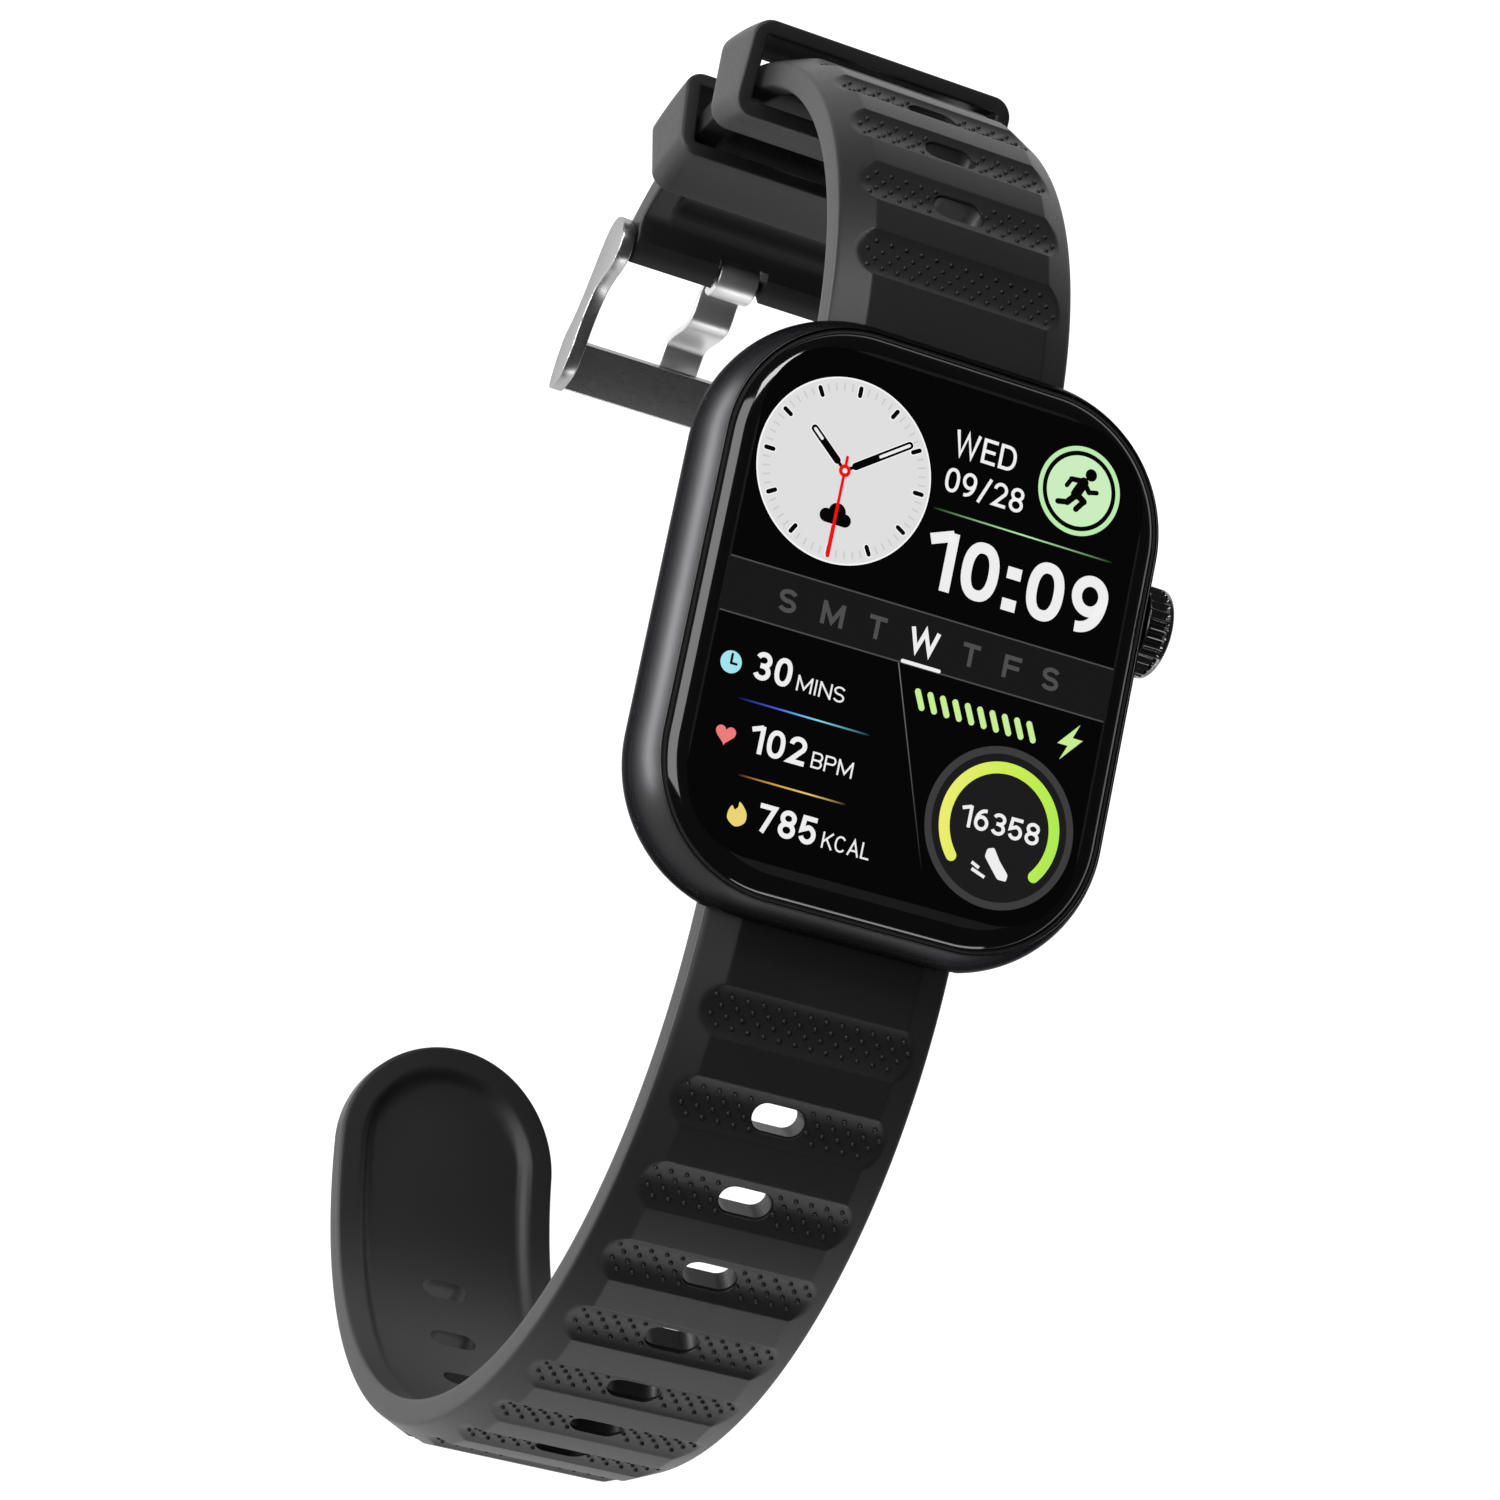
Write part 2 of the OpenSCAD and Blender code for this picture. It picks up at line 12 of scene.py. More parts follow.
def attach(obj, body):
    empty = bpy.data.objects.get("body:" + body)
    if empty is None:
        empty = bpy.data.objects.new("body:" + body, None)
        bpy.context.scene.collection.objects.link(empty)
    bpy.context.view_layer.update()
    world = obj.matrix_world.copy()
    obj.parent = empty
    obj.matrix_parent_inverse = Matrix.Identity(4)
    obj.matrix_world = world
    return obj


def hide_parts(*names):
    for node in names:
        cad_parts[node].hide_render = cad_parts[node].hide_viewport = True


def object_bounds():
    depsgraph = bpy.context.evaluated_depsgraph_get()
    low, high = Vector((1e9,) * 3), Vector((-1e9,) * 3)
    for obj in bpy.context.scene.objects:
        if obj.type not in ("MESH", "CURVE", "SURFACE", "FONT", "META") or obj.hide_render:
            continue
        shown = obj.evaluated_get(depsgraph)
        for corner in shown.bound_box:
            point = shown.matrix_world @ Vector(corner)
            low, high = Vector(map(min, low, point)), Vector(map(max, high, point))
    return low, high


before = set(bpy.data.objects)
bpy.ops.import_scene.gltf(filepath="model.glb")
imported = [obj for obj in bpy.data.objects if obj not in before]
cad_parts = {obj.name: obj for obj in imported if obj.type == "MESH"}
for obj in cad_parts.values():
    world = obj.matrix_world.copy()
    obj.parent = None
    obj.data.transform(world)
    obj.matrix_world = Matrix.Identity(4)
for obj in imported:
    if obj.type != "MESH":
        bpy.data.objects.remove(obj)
cad_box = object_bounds()
MM = 0.001
pi = math.pi

# sizes shared with the solids
CASE_W, CASE_L, CORNER = 39.8, 47.8, 12.0
SIDE_R, SIDE_Z, RIM_Z, BACK_Z = 7.6, 7.0, 10.95, 1.0
GLASS_TOP, GLASS_SEAT, LEDGE_Z = 11.6, 10.4, 10.1
CROWN_Y, CROWN_R, CROWN_X, FLUTES = 7.0, 3.7, 19.25, 30
STRAP_W, PANEL_W, WALL_T, PANEL_T, RECESS_T = 21.2, 15.6, 2.2, 3.4, 0.8
GROOVE_R, GROOVE_D, PITCH = 3.6, 0.57, 7.35
SLOT_L, SLOT_W = 4.4, 2.3
LOOP_WALL, LOOP_LEN = 1.4, 7.0
BAR_Y, BAR_Z, LUG_R = 20.9, 5.25, 1.7
UPPER = dict(c=(20.85, -26.55), r=30.1, end=136.0, first=17.4, grooves=8)
LOWER = dict(c=(20.1, -39.45), r=43.0, first=13.5, grooves=14)
TAIL = dict(c=(24.3, -39.45), r=38.8, end=173.0)
BUCKLE_ANGLE, BUCKLE_R, FRAME_DIR = 136.0, 30.4, 149.0


# ---------------------------------------------------------------- mesh tools
def grid_faces(nu, nv, wrap_u=False, wrap_v=False, start=0):
    """Quads of a grid of nu by nv points stored row by row."""
    u = np.arange(nu if wrap_u else nu - 1)
    v = np.arange(nv if wrap_v else nv - 1)
    a, b = np.meshgrid(u, v, indexing="ij")
    a2, b2 = (a + 1) % nu, (b + 1) % nv
    quads = np.stack([a * nv + b, a2 * nv + b, a2 * nv + b2, a * nv + b2], -1)
    return (quads.reshape(-1, 4) + start).tolist()


def volume_sign(verts, faces):
    """Sign of the volume inside closed faces: positive when they point outwards."""
    total = 0.0
    for size in {len(f) for f in faces}:
        idx = np.array([f for f in faces if len(f) == size])
        for k in range(1, size - 1):
            a, b, c = verts[idx[:, 0]], verts[idx[:, k]], verts[idx[:, k + 1]]
            total += np.einsum("ij,ij->i", a, np.cross(b, c)).sum()
    return 1 if total > 0 else -1


def solid(parts):
    """Joins closed (verts, faces) shells into one, each with its faces outwards."""
    all_v, all_f, n = [], [], 0
    for verts, faces in parts:
        verts = np.asarray(verts, float).reshape(-1, 3)
        flip = volume_sign(verts - verts.mean(0), faces) < 0
        all_f += [[i + n for i in (reversed(f) if flip else f)] for f in faces]
        all_v.append(verts)
        n += len(verts)
    return np.concatenate(all_v), all_f


def shade(me, smooth):
    """Smooth shading, with a sharp edge where two faces meet at more than smooth degrees."""
    me.polygons.foreach_set("use_smooth", np.ones(len(me.polygons), bool))
    me.set_sharp_from_angle(angle=math.radians(smooth))


def new_object(name, verts, faces, smooth=35.0):
    """A mesh object from points in millimetres."""
    me = bpy.data.meshes.new(name)
    me.from_pydata((np.asarray(verts) * MM).tolist(), [], faces)
    me.validate()
    me.update()
    shade(me, smooth)
    ob = bpy.data.objects.new(name, me)
    bpy.context.scene.collection.objects.link(ob)
    return ob


def piece(ob, material, body, slot, *nodes):
    """Gives a finished object its material and its body, and hides the solids it stands for. The
    slot argument is not used.
    """
    ob.data.materials.clear()
    ob.data.materials.append(material)
    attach(ob, body)
    if nodes:
        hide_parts(*nodes)
    return ob


def cut(ob, shells, smooth=35.0):
    """Takes closed shells out of an object with an exact boolean."""
    tool = new_object("cutter", *solid(shells))
    mod = ob.modifiers.new("cut", "BOOLEAN")
    mod.object, mod.operation, mod.solver = tool, "DIFFERENCE", "EXACT"
    deps = bpy.context.evaluated_depsgraph_get()
    me = bpy.data.meshes.new_from_object(ob.evaluated_get(deps))
    ob.modifiers.clear()
    old, ob.data = ob.data, me
    bpy.data.meshes.remove(old)
    bpy.data.objects.remove(tool)
    shade(me, smooth)


def tube(rings):
    """Closed shell through rows of points, each row a ring, with a flat face over both ends."""
    m, n = rings.shape[:2]
    faces = grid_faces(m, n, wrap_v=True)
    faces += [list(range(n)), list(range((m - 1) * n, m * n))[::-1]]
    return rings.reshape(-1, 3), faces


def corner_path(cx, cy, arc, straight):
    """Rounded-rectangle path: points on the rectangle of corner centres, and outward normals."""
    base, normal = [], []
    for q, (sx, sy) in enumerate([(1, 1), (-1, 1), (-1, -1), (1, -1)]):
        a = np.radians(90 * q + np.linspace(0, 90, arc + 1))
        base.append(np.tile([sx * cx, sy * cy], (arc + 1, 1)))
        normal.append(np.stack([np.cos(a), np.sin(a)], 1))
        nx, ny = [(-1, 1), (-1, -1), (1, -1), (1, 1)][q]
        t = np.linspace(0, 1, straight + 1)[1:-1, None]
        base.append(np.array([sx * cx, sy * cy]) * (1 - t) + np.array([nx * cx, ny * cy]) * t)
        normal.append(np.tile(normal[-1][-1], (straight - 1, 1)))
    return np.concatenate(base), np.concatenate(normal)


def sweep(cx, cy, profile):
    """A half section [distance from the corner centre, height] carried round a rounded
    rectangle: point = base + distance * normal. Closed at both ends by flat faces."""
    base, normal = corner_path(cx, cy, 40, 10)
    p = np.asarray(profile, float)
    xy = base[:, None, :] + normal[:, None, :] * p[None, :, 0:1]
    z = np.broadcast_to(p[None, :, 1:2], xy.shape[:2] + (1,))
    m, k = xy.shape[:2]
    verts = np.concatenate([xy, z], -1).reshape(-1, 3)
    faces = grid_faces(m, k, wrap_u=True)
    faces.append([i * k for i in range(m)][::-1])
    faces.append([i * k + k - 1 for i in range(m)])
    return verts, faces


def prism(outline, z0, z1):
    """A closed slab between two heights over a plan outline."""
    o = np.asarray(outline, float)
    n = len(o)
    verts = np.concatenate([np.c_[o, np.full(n, z0)], np.c_[o, np.full(n, z1)]])
    faces = [[i, (i + 1) % n, n + (i + 1) % n, n + i] for i in range(n)]
    return verts, faces + [list(range(n))[::-1], list(range(n, 2 * n))]


def rounded_outline(w, l, r, arc=16, straight=1):
    """Plan of a rounded rectangle w by l with corner radius r."""
    base, normal = corner_path(w / 2 - r, l / 2 - r, arc, straight)
    return base + normal * r


def rounded_polygon(points, r, n=6):
    """Polygon whose corners are replaced by short quadratic curves, r from each corner."""
    p = np.asarray(points, float)
    before, after = np.roll(p, 1, 0) - p, np.roll(p, -1, 0) - p
    lb, la = np.linalg.norm(before, axis=1), np.linalg.norm(after, axis=1)
    rr = np.minimum(r, 0.45 * np.minimum(lb, la))
    a, b = p + before / lb[:, None] * rr[:, None], p + after / la[:, None] * rr[:, None]
    t = np.linspace(0, 1, n)[None, :, None]
    curve = (1 - t) ** 2 * a[:, None] + 2 * t * (1 - t) * p[:, None] + t ** 2 * b[:, None]
    return curve.reshape(-1, 2)


def spline_loop(points):
    """Closed Catmull-Rom curve through the points, in eight steps from each to the next."""
    p = np.asarray(points, float)
    t = np.linspace(0, 1, 8, endpoint=False)[None, :, None]
    p0, p1, p2, p3 = (np.roll(p, k, 0)[:, None] for k in (1, 0, -1, -2))
    q = 0.5 * (2 * p1 + (p2 - p0) * t + (2 * p0 - 5 * p1 + 4 * p2 - p3) * t ** 2
               + (3 * p1 - p0 - 3 * p2 + p3) * t ** 3)
    return q.reshape(-1, 2)


def inset(outline, d):
    """Moves a counter-clockwise outline inwards by d along its point normals."""
    t = np.roll(outline, -1, 0) - np.roll(outline, 1, 0)
    t /= np.linalg.norm(t, axis=1)[:, None]
    return outline + np.c_[-t[:, 1], t[:, 0]] * d


def filleted_plate(outline, x0, x1, r, place):
    """Plate over an outline between x0 and x1 whose rim follows a quarter circle of radius r.
    place(a, b, x) puts outline coordinates in space."""
    k = np.linspace(0, pi / 2, 4)
    depth = np.r_[r * (1 - np.sin(k)), r * (1 - np.sin(k))[::-1]]
    xs = np.r_[x0 + r * (1 - np.cos(k)), (x1 - r * (1 - np.cos(k)))[::-1]]
    return tube(np.stack([place(*inset(outline, d).T, x) for d, x in zip(depth, xs)]))


def x_cylinder(r, x0, x1, y, z, n=48):
    """Closed cylinder along X."""
    a = np.linspace(0, 2 * pi, n, endpoint=False)
    v, f = prism(np.c_[r * np.cos(a), r * np.sin(a)], x0, x1)
    return np.c_[v[:, 2], v[:, 0] + y, v[:, 1] + z], f


# ---------------------------------------------------------------- materials
def material(name, color, rough, metallic=0.0, **sockets):
    """A Principled material; returns it with its node tree and shader."""
    mat = bpy.data.materials.new(name)
    mat.use_nodes = True
    sh = mat.node_tree.nodes["Principled BSDF"]
    sh.inputs["Base Color"].default_value = (*color, 1)
    sh.inputs["Roughness"].default_value = rough
    sh.inputs["Metallic"].default_value = metallic
    for key, val in sockets.items():
        sh.inputs[key.replace("_", " ")].default_value = val
    return mat, mat.node_tree, sh


def noise(nt, scale, detail, stretch=(1, 1, 1)):
    """A noise value on Object coordinates."""
    co = nt.nodes.new("ShaderNodeTexCoord")
    mp = nt.nodes.new("ShaderNodeMapping")
    mp.inputs["Scale"].default_value = stretch
    nz = nt.nodes.new("ShaderNodeTexNoise")
    nz.inputs["Scale"].default_value = scale
    nz.inputs["Detail"].default_value = detail
    nt.links.new(co.outputs["Object"], mp.inputs["Vector"])
    nt.links.new(mp.outputs["Vector"], nz.inputs["Vector"])
    return nz.outputs["Fac"]


def ramp(nt, fac, stops):
    """Colours laid along a value."""
    rp = nt.nodes.new("ShaderNodeValToRGB")
    el = rp.color_ramp.elements
    while len(el) < len(stops):
        el.new(0.5)
    for e, (pos, col) in zip(el, stops):
        e.position = pos
        e.color = (*col, 1)
    nt.links.new(fac, rp.inputs["Fac"])
    return rp.outputs["Color"]


def vary(nt, sh, socket, fac, lo, hi):
    """Lets a noise value move one socket between two values or colours."""
    if isinstance(lo, tuple):
        nt.links.new(ramp(nt, fac, [(0.3, lo), (0.7, hi)]), sh.inputs[socket])
        return
    mr = nt.nodes.new("ShaderNodeMapRange")
    mr.inputs["From Min"].default_value, mr.inputs["From Max"].default_value = 0.3, 0.7
    mr.inputs["To Min"].default_value, mr.inputs["To Max"].default_value = lo, hi
    nt.links.new(fac, mr.inputs["Value"])
    nt.links.new(mr.outputs["Result"], sh.inputs[socket])


def bump(nt, sh, fac, strength, height):
    """Fine relief from a value, height in millimetres."""
    bp = nt.nodes.new("ShaderNodeBump")
    bp.inputs["Strength"].default_value = strength
    bp.inputs["Distance"].default_value = height * MM
    nt.links.new(fac, bp.inputs["Height"])
    nt.links.new(bp.outputs["Normal"], sh.inputs["Normal"])


def textured(name, lo, hi, rough, grain, depth, metallic=0.0, stretch=(1, 1, 1), strength=0.3,
             **sockets):
    """Colour drifting between lo and hi in patches, roughness drifting with it, fine grain bump."""
    mat, nt, sh = material(name, lo, sum(rough) / 2, metallic, **sockets)
    vary(nt, sh, "Base Color", noise(nt, 120, 4, stretch), lo, hi)
    fine = noise(nt, grain, 2, stretch)
    vary(nt, sh, "Roughness", fine, *rough)
    bump(nt, sh, fine, strength, depth)
    return mat


def grey(v, tint=1.0):
    """A neutral colour, slightly blue where tint is above one."""
    return (v, v, v * tint)


M = {
    "case": textured("case_satin_black", grey(0.036, 1.03), grey(0.042, 1.03), (0.31, 0.36),
                     9000, 0.008, metallic=1.0, strength=0.25, Specular_Tint=(0.26, 0.26, 0.27, 1)),
    "crown": textured("crown_dark_metal", grey(0.13), grey(0.16), (0.20, 0.24), 6000, 0.002,
                      metallic=1.0, strength=0.05),
    "glass": textured("cover_glass_black", grey(0.0015), grey(0.002), (0.07, 0.09), 300, 0.001,
                      strength=0.02, IOR=1.52),
    "bezel": textured("bezel_ink", grey(0.009), grey(0.011), (0.10, 0.14), 900, 0.001,
                      strength=0.03),
    "strap": textured("strap_silicone", grey(0.0098, 1.02), grey(0.0115, 1.02), (0.40, 0.46),
                      5200, 0.02, strength=0.22, Specular_IOR_Level=0.28),
    "loop": textured("loop_silicone", grey(0.0095, 1.02), grey(0.0115, 1.02), (0.42, 0.50),
                     4800, 0.02, strength=0.2, Specular_IOR_Level=0.3),
    "buckle": textured("buckle_brushed_steel", grey(0.38), grey(0.43), (0.27, 0.34), 5000,
                       0.004, metallic=1.0, stretch=(0.3, 2, 2), strength=0.08,
                       Specular_Tint=(0.6, 0.6, 0.6, 1)),
    "tongue": textured("tongue_polished_steel", grey(0.60), grey(0.65), (0.36, 0.42), 5000,
                       0.003, metallic=1.0, stretch=(0.3, 2, 2), strength=0.06),
    "pin": textured("pin_steel", grey(0.45), grey(0.52), (0.25, 0.35), 3000, 0.004,
                    metallic=1.0, stretch=(0.3, 2, 2)),
    "back": textured("back_gloss_plastic", grey(0.012), grey(0.015), (0.16, 0.22), 1500, 0.003,
                     strength=0.1, Coat_Weight=0.4),
    "sensor": textured("sensor_window_glass", grey(0.006, 1.3), grey(0.009, 1.3), (0.04, 0.07),
                       400, 0.001, strength=0.03, Coat_Weight=0.6),
    "seal": textured("seal_rubber_black", grey(0.006), grey(0.009), (0.55, 0.65), 3000, 0.01),
    "contact": textured("contact_gold", (0.62, 0.42, 0.16), (0.70, 0.49, 0.20), (0.18, 0.26),
                        2500, 0.003, metallic=1.0),
    "board": textured("board_green", (0.006, 0.07, 0.03), (0.012, 0.10, 0.045), (0.4, 0.5),
                      900, 0.02),
    "flex": textured("flex_amber", (0.30, 0.15, 0.03), (0.38, 0.20, 0.045), (0.3, 0.4), 900,
                     0.01),
    "shield": textured("shield_tin", grey(0.5), grey(0.58), (0.28, 0.38), 1800, 0.006,
                       metallic=1.0),
    "battery": textured("battery_foil", grey(0.33), grey(0.4), (0.35, 0.45), 700, 0.03,
                        metallic=1.0),
    "bracket": textured("bracket_plastic", grey(0.03), grey(0.04), (0.45, 0.55), 2500, 0.01),
}


def lit(name, color):
    """A self-lit screen colour with the glass's gloss over it."""
    mat, nt, sh = material(name, (0.0, 0.0, 0.0), 0.12, Emission_Strength=1.0)
    stops = [(0.0, tuple(c * 0.985 for c in color)), (1.0, color)]
    nt.links.new(ramp(nt, noise(nt, 20000, 1), stops), sh.inputs["Emission Color"])
    return mat


def lit_along(name, axis, x0, x1, stops):
    """A self-lit colour that changes with place from x0 to x1 along an axis."""
    mat, nt, sh = material(name, (0.0, 0.0, 0.0), 0.12, Emission_Strength=1.0)
    co = nt.nodes.new("ShaderNodeTexCoord")
    sp = nt.nodes.new("ShaderNodeSeparateXYZ")
    mr = nt.nodes.new("ShaderNodeMapRange")
    mr.inputs["From Min"].default_value, mr.inputs["From Max"].default_value = x0 * MM, x1 * MM
    nt.links.new(co.outputs["Object"], sp.inputs["Vector"])
    nt.links.new(sp.outputs[axis], mr.inputs["Value"])
    nt.links.new(ramp(nt, mr.outputs["Result"], stops), sh.inputs["Emission Color"])
    return mat


# ---------------------------------------------------------------- case
def case_profile():
    """Half section of the case: flat underside, a circular bulge about the widest line, a thin
    rounded lip, then the seat of the glass and of the display."""
    bulge_x = CORNER - SIDE_R
    lip_r = 0.12
    a0 = -math.asin((SIDE_Z - BACK_Z) / SIDE_R)
    a1 = math.asin((RIM_Z - lip_r - SIDE_Z) / SIDE_R)
    a = np.linspace(a0, a1, 44)
    bulge = np.c_[bulge_x + SIDE_R * np.cos(a), SIDE_Z + SIDE_R * np.sin(a)]
    k = np.linspace(0, pi, 9)
    lip_in = CORNER - 1.25
    lip_out = bulge[-1, 0] - 0.02
    half = (lip_out - lip_in) / 2
    lip = np.c_[lip_in + half + half * np.cos(k), RIM_Z - lip_r + lip_r * np.sin(k)]
    under = [[0.5, BACK_Z], [8.0, BACK_Z], [8.9, BACK_Z], [9.02, BACK_Z + 0.02]]
    seat = [[lip_in, LEDGE_Z + 0.05], [lip_in, LEDGE_Z], [9.5, LEDGE_Z], [9.5, 8.0], [0.5, 8.0]]
    return np.concatenate([under, bulge[1:], lip, seat])


def strap_pocket(side):
    """Cutter for the mouth that takes a strap's end: half width, back wall, ceiling."""
    w, back, top = 10.8, 18.9, 7.45
    plan = rounded_polygon([[-w, back], [w, back], [w, 30], [-w, 30]], 0.25, 4)
    v, f = prism(plan, -1.0, top)
    v[:, 1] *= side
    return v, f


# width, length, corner radius, floor and ceiling: main hollow, back opening, cover's rebate
HOLLOWS = ((33.6, 36.4, 7, 2.4, 8.3), (29.6, 33.8, 10, 0.0, 2.6), (32.1, 36.3, 8.2, 0.0, 2.0))
TIP_R, TIP_HOLE = 0.47, 2.1

CENTRE = CASE_W / 2 - CORNER, CASE_L / 2 - CORNER
case = new_object("case_body", *solid([sweep(*CENTRE, case_profile())]))
for w, l, r, z0, z1 in HOLLOWS:
    cut(case, [prism(rounded_outline(w, l, r), z0, z1)])
cut(case, [strap_pocket(1), strap_pocket(-1)])
cut(case, [x_cylinder(1.72, 15.5, 21.0, CROWN_Y, SIDE_Z)])
cut(case, [x_cylinder(CROWN_R + 0.15, 18.9, 21.5, CROWN_Y, SIDE_Z, 96)])
cut(case, [x_cylinder(TIP_R, x, x + TIP_HOLE, side * BAR_Y, BAR_Z, 20)
           for x in (10.0, -10.0 - TIP_HOLE) for side in (1, -1)])
piece(case, M["case"], "case", "case_metal", "case_frame")


def glass_profile():
    """Half section of the glass: flat bottom, upright side, top edge falling 0.7 over 1.5
    on a circle, flat top."""
    corner, edge, drop = CORNER - 1.6, 1.5, 0.7
    r = (edge ** 2 + drop ** 2) / (2 * drop)
    flat = corner - edge
    a = np.linspace(math.asin(edge / r), 0, 22)
    top = np.c_[flat + r * np.sin(a), GLASS_TOP - r + r * np.cos(a)]
    low = [[0.5, GLASS_SEAT], [corner - 0.06, GLASS_SEAT], [corner, GLASS_SEAT + 0.06]]
    side = [[corner, GLASS_TOP - drop - 0.05]]
    inner = [[flat - 0.3, GLASS_TOP], [flat - 2.0, GLASS_TOP], [0.5, GLASS_TOP]]
    return np.concatenate([low, side, top, inner])


piece(new_object("cover_glass_shell", *solid([sweep(*CENTRE, glass_profile())])), M["glass"],
      "case", "cover_glass", "cover_glass")


# ---------------------------------------------------------------- crown
def crown_shell():
    """Turned cap: radius along X follows a chamfered profile, and cosine flutes with narrow
    ridges are cut into its middle, fading out near both rims."""
    prof = np.array([[0.0, 0.9], [0.0, 3.2], [0.0, 3.45], [0.04, 3.6], [0.12, 3.68], [0.2, 3.7],
                     [0.26, 3.7], [0.34, 3.7], [0.5, 3.7], [0.9, 3.7], [1.3, 3.7], [1.66, 3.7],
                     [1.76, 3.7], [1.84, 3.7], [1.9, 3.7], [2.1, 3.7], [2.16, 3.69], [2.24, 3.65],
                     [2.31, 3.58], [2.36, 3.5], [2.39, 3.4], [2.4, 3.3], [2.4, 2.95], [2.36, 2.85],
                     [2.30, 2.75], [2.29, 2.6], [2.29, 1.6], [2.29, 0.8], [2.29, 0.3]])
    n = FLUTES * 16
    a = np.linspace(0, 2 * pi, n, endpoint=False)
    x, r = prof[:, 0][:, None], prof[:, 1][:, None]
    flute_depth, flute_start, flute_end, skin_r = 0.34, (0.2, 0.36), (1.74, 1.92), 3.3
    ramp_up = lambda lo, hi: np.clip((x - lo) / (hi - lo), 0, 1)
    mask = ramp_up(*flute_start) * (1 - ramp_up(*flute_end)) * (r > skin_r)
    valley = (0.5 - 0.5 * np.cos(FLUTES * a))[None, :] ** 0.8
    rr = r - flute_depth * mask * valley
    return tube(np.stack([np.broadcast_to(CROWN_X + x, rr.shape), CROWN_Y + rr * np.cos(a),
                          SIDE_Z + rr * np.sin(a)], -1))


piece(new_object("crown_knurled_cap", *solid([crown_shell()]), 28), M["crown"], "crown",
      "crown_metal", "crown_cap")


# ---------------------------------------------------------------- straps
def smoothstep(t):
    """Smooth rise from 0 to 1."""
    t = np.clip(t, 0, 1)
    return t * t * (3 - 2 * t)


# places across half a strap, as distances from its side, close together at the creases
EDGE_COLUMNS = np.array([0, 0.02, 0.07, 0.14, 0.25, 0.5, 0.9, 1.3, 1.5, 1.7, 1.9, 2.1, 2.3, 2.5,
                         2.66, 2.74, 2.8, 2.86, 2.95, 3.1, 3.3, 3.6, 4.2, 5.0, 6.0, 7.0, 8.0,
                         9.2, 10.6])


def along_rows(length, centres, round_start=None):
    """Places along a strap, close together at each groove's two edges and at its round end."""
    local = np.r_[0, 0.5, 1.0, 1.4, 1.62, 1.76, 1.86, 1.93, 1.99, 2.06, 2.16, 2.35, 2.8]
    rows = [np.linspace(0, length, int(length / 0.8))]
    rows += [c + s * local for c in centres for s in (-1, 1)]
    s = np.unique(np.round(np.concatenate(rows), 3))
    s = s[(s > 0.0) & (s < length)]
    s = s[np.r_[True, np.diff(s) > 0.045]]
    if round_start is not None:
        th = np.linspace(0, pi / 2, 40)[1:]
        s = np.r_[s[s < round_start], round_start + (length - round_start) * np.sin(th)]
    start = LUG_R * np.cos(np.linspace(pi, pi / 2, 10))
    return np.r_[start, s]


def soft_min(a, b, k):
    """Lower of two heights with the crease between them rounded over k."""
    h = np.clip(0.5 + 0.5 * (b - a) / k, 0, 1)
    return b * (1 - h) + a * h - k * h * (1 - h)


def strap_shell(length, centres, place, recess, round_start=None, knuckle=None):
    """One strap half. Its section is a side wall, a bevel and a flat panel, with a hollow wrist
    face. Top height = the lower of the bevelled section and the groove cylinders; the hollow
    deepens smoothly with distance from the rim. place(s, x, h) bends it into its arcs."""
    e = EDGE_COLUMNS / EDGE_COLUMNS[-1]
    t = np.r_[-1 + e, (1 - e)[::-1][1:]]
    s = along_rows(length, centres, round_start)
    half = np.full(len(s), STRAP_W / 2)
    if round_start is not None:
        over = np.clip((s - round_start) / (STRAP_W / 2), 0, 1)
        half = STRAP_W / 2 * np.sqrt(np.maximum(1 - over ** 2, 0.00002))
    x = t[None, :] * half[:, None]
    ss = np.broadcast_to(s[:, None], x.shape)
    beyond = np.maximum(ss - (round_start if round_start is not None else 1e9), 0)
    edge = STRAP_W / 2 - np.hypot(x, beyond)
    edge = np.clip(edge, 0, None)
    edge[:, 0] = edge[:, -1] = 0
    fillet = 0.25
    ease = fillet - np.sqrt(np.maximum(fillet ** 2 - (fillet - edge) ** 2, 0))
    ease = np.where(edge < fillet, ease, 0)
    bevel_w = (STRAP_W - PANEL_W) / 2
    top = soft_min(WALL_T + (PANEL_T - WALL_T) * edge / bevel_w, np.full_like(x, PANEL_T), 0.05)
    for c in centres:
        d = np.abs(ss - c)
        floor = PANEL_T - GROOVE_D + GROOVE_R - np.sqrt(np.maximum(GROOVE_R ** 2 - d ** 2, 0))
        floor = np.where(d < 2.6, floor, 99.0)
        top = np.where(d < 2.6, soft_min(top, np.minimum(floor, 9.0), 0.035), top)
    top = top - ease
    r0, r1 = recess
    along = np.minimum(ss - r0, r1 - ss) if r1 is not None else ss - r0
    rim_w = 2.0
    inside = np.minimum(edge - rim_w, along)
    low = RECESS_T * smoothstep(inside / 1.3) + ease
    if knuckle is not None:
        low = low - knuckle(ss)
    wall = np.linspace(0, 1, 5)[1:-1]
    k_start = np.sqrt(np.clip(1 - np.minimum(s, 0) ** 2 / LUG_R ** 2, 0.0004, 1))[:, None]
    left = low[:, :1] + (top[:, :1] - low[:, :1]) * wall[None, :]
    right = top[:, -1:] + (low[:, -1:] - top[:, -1:]) * wall[None, :]
    h = np.concatenate([left, top, right, low[:, ::-1]], 1)
    h = LUG_R + (h - LUG_R) * k_start
    xx = np.concatenate([np.repeat(x[:, :1], 3, 1), x, np.repeat(x[:, -1:], 3, 1), x[:, ::-1]], 1)
    return tube(place(np.broadcast_to(s[:, None], xx.shape), xx, h))


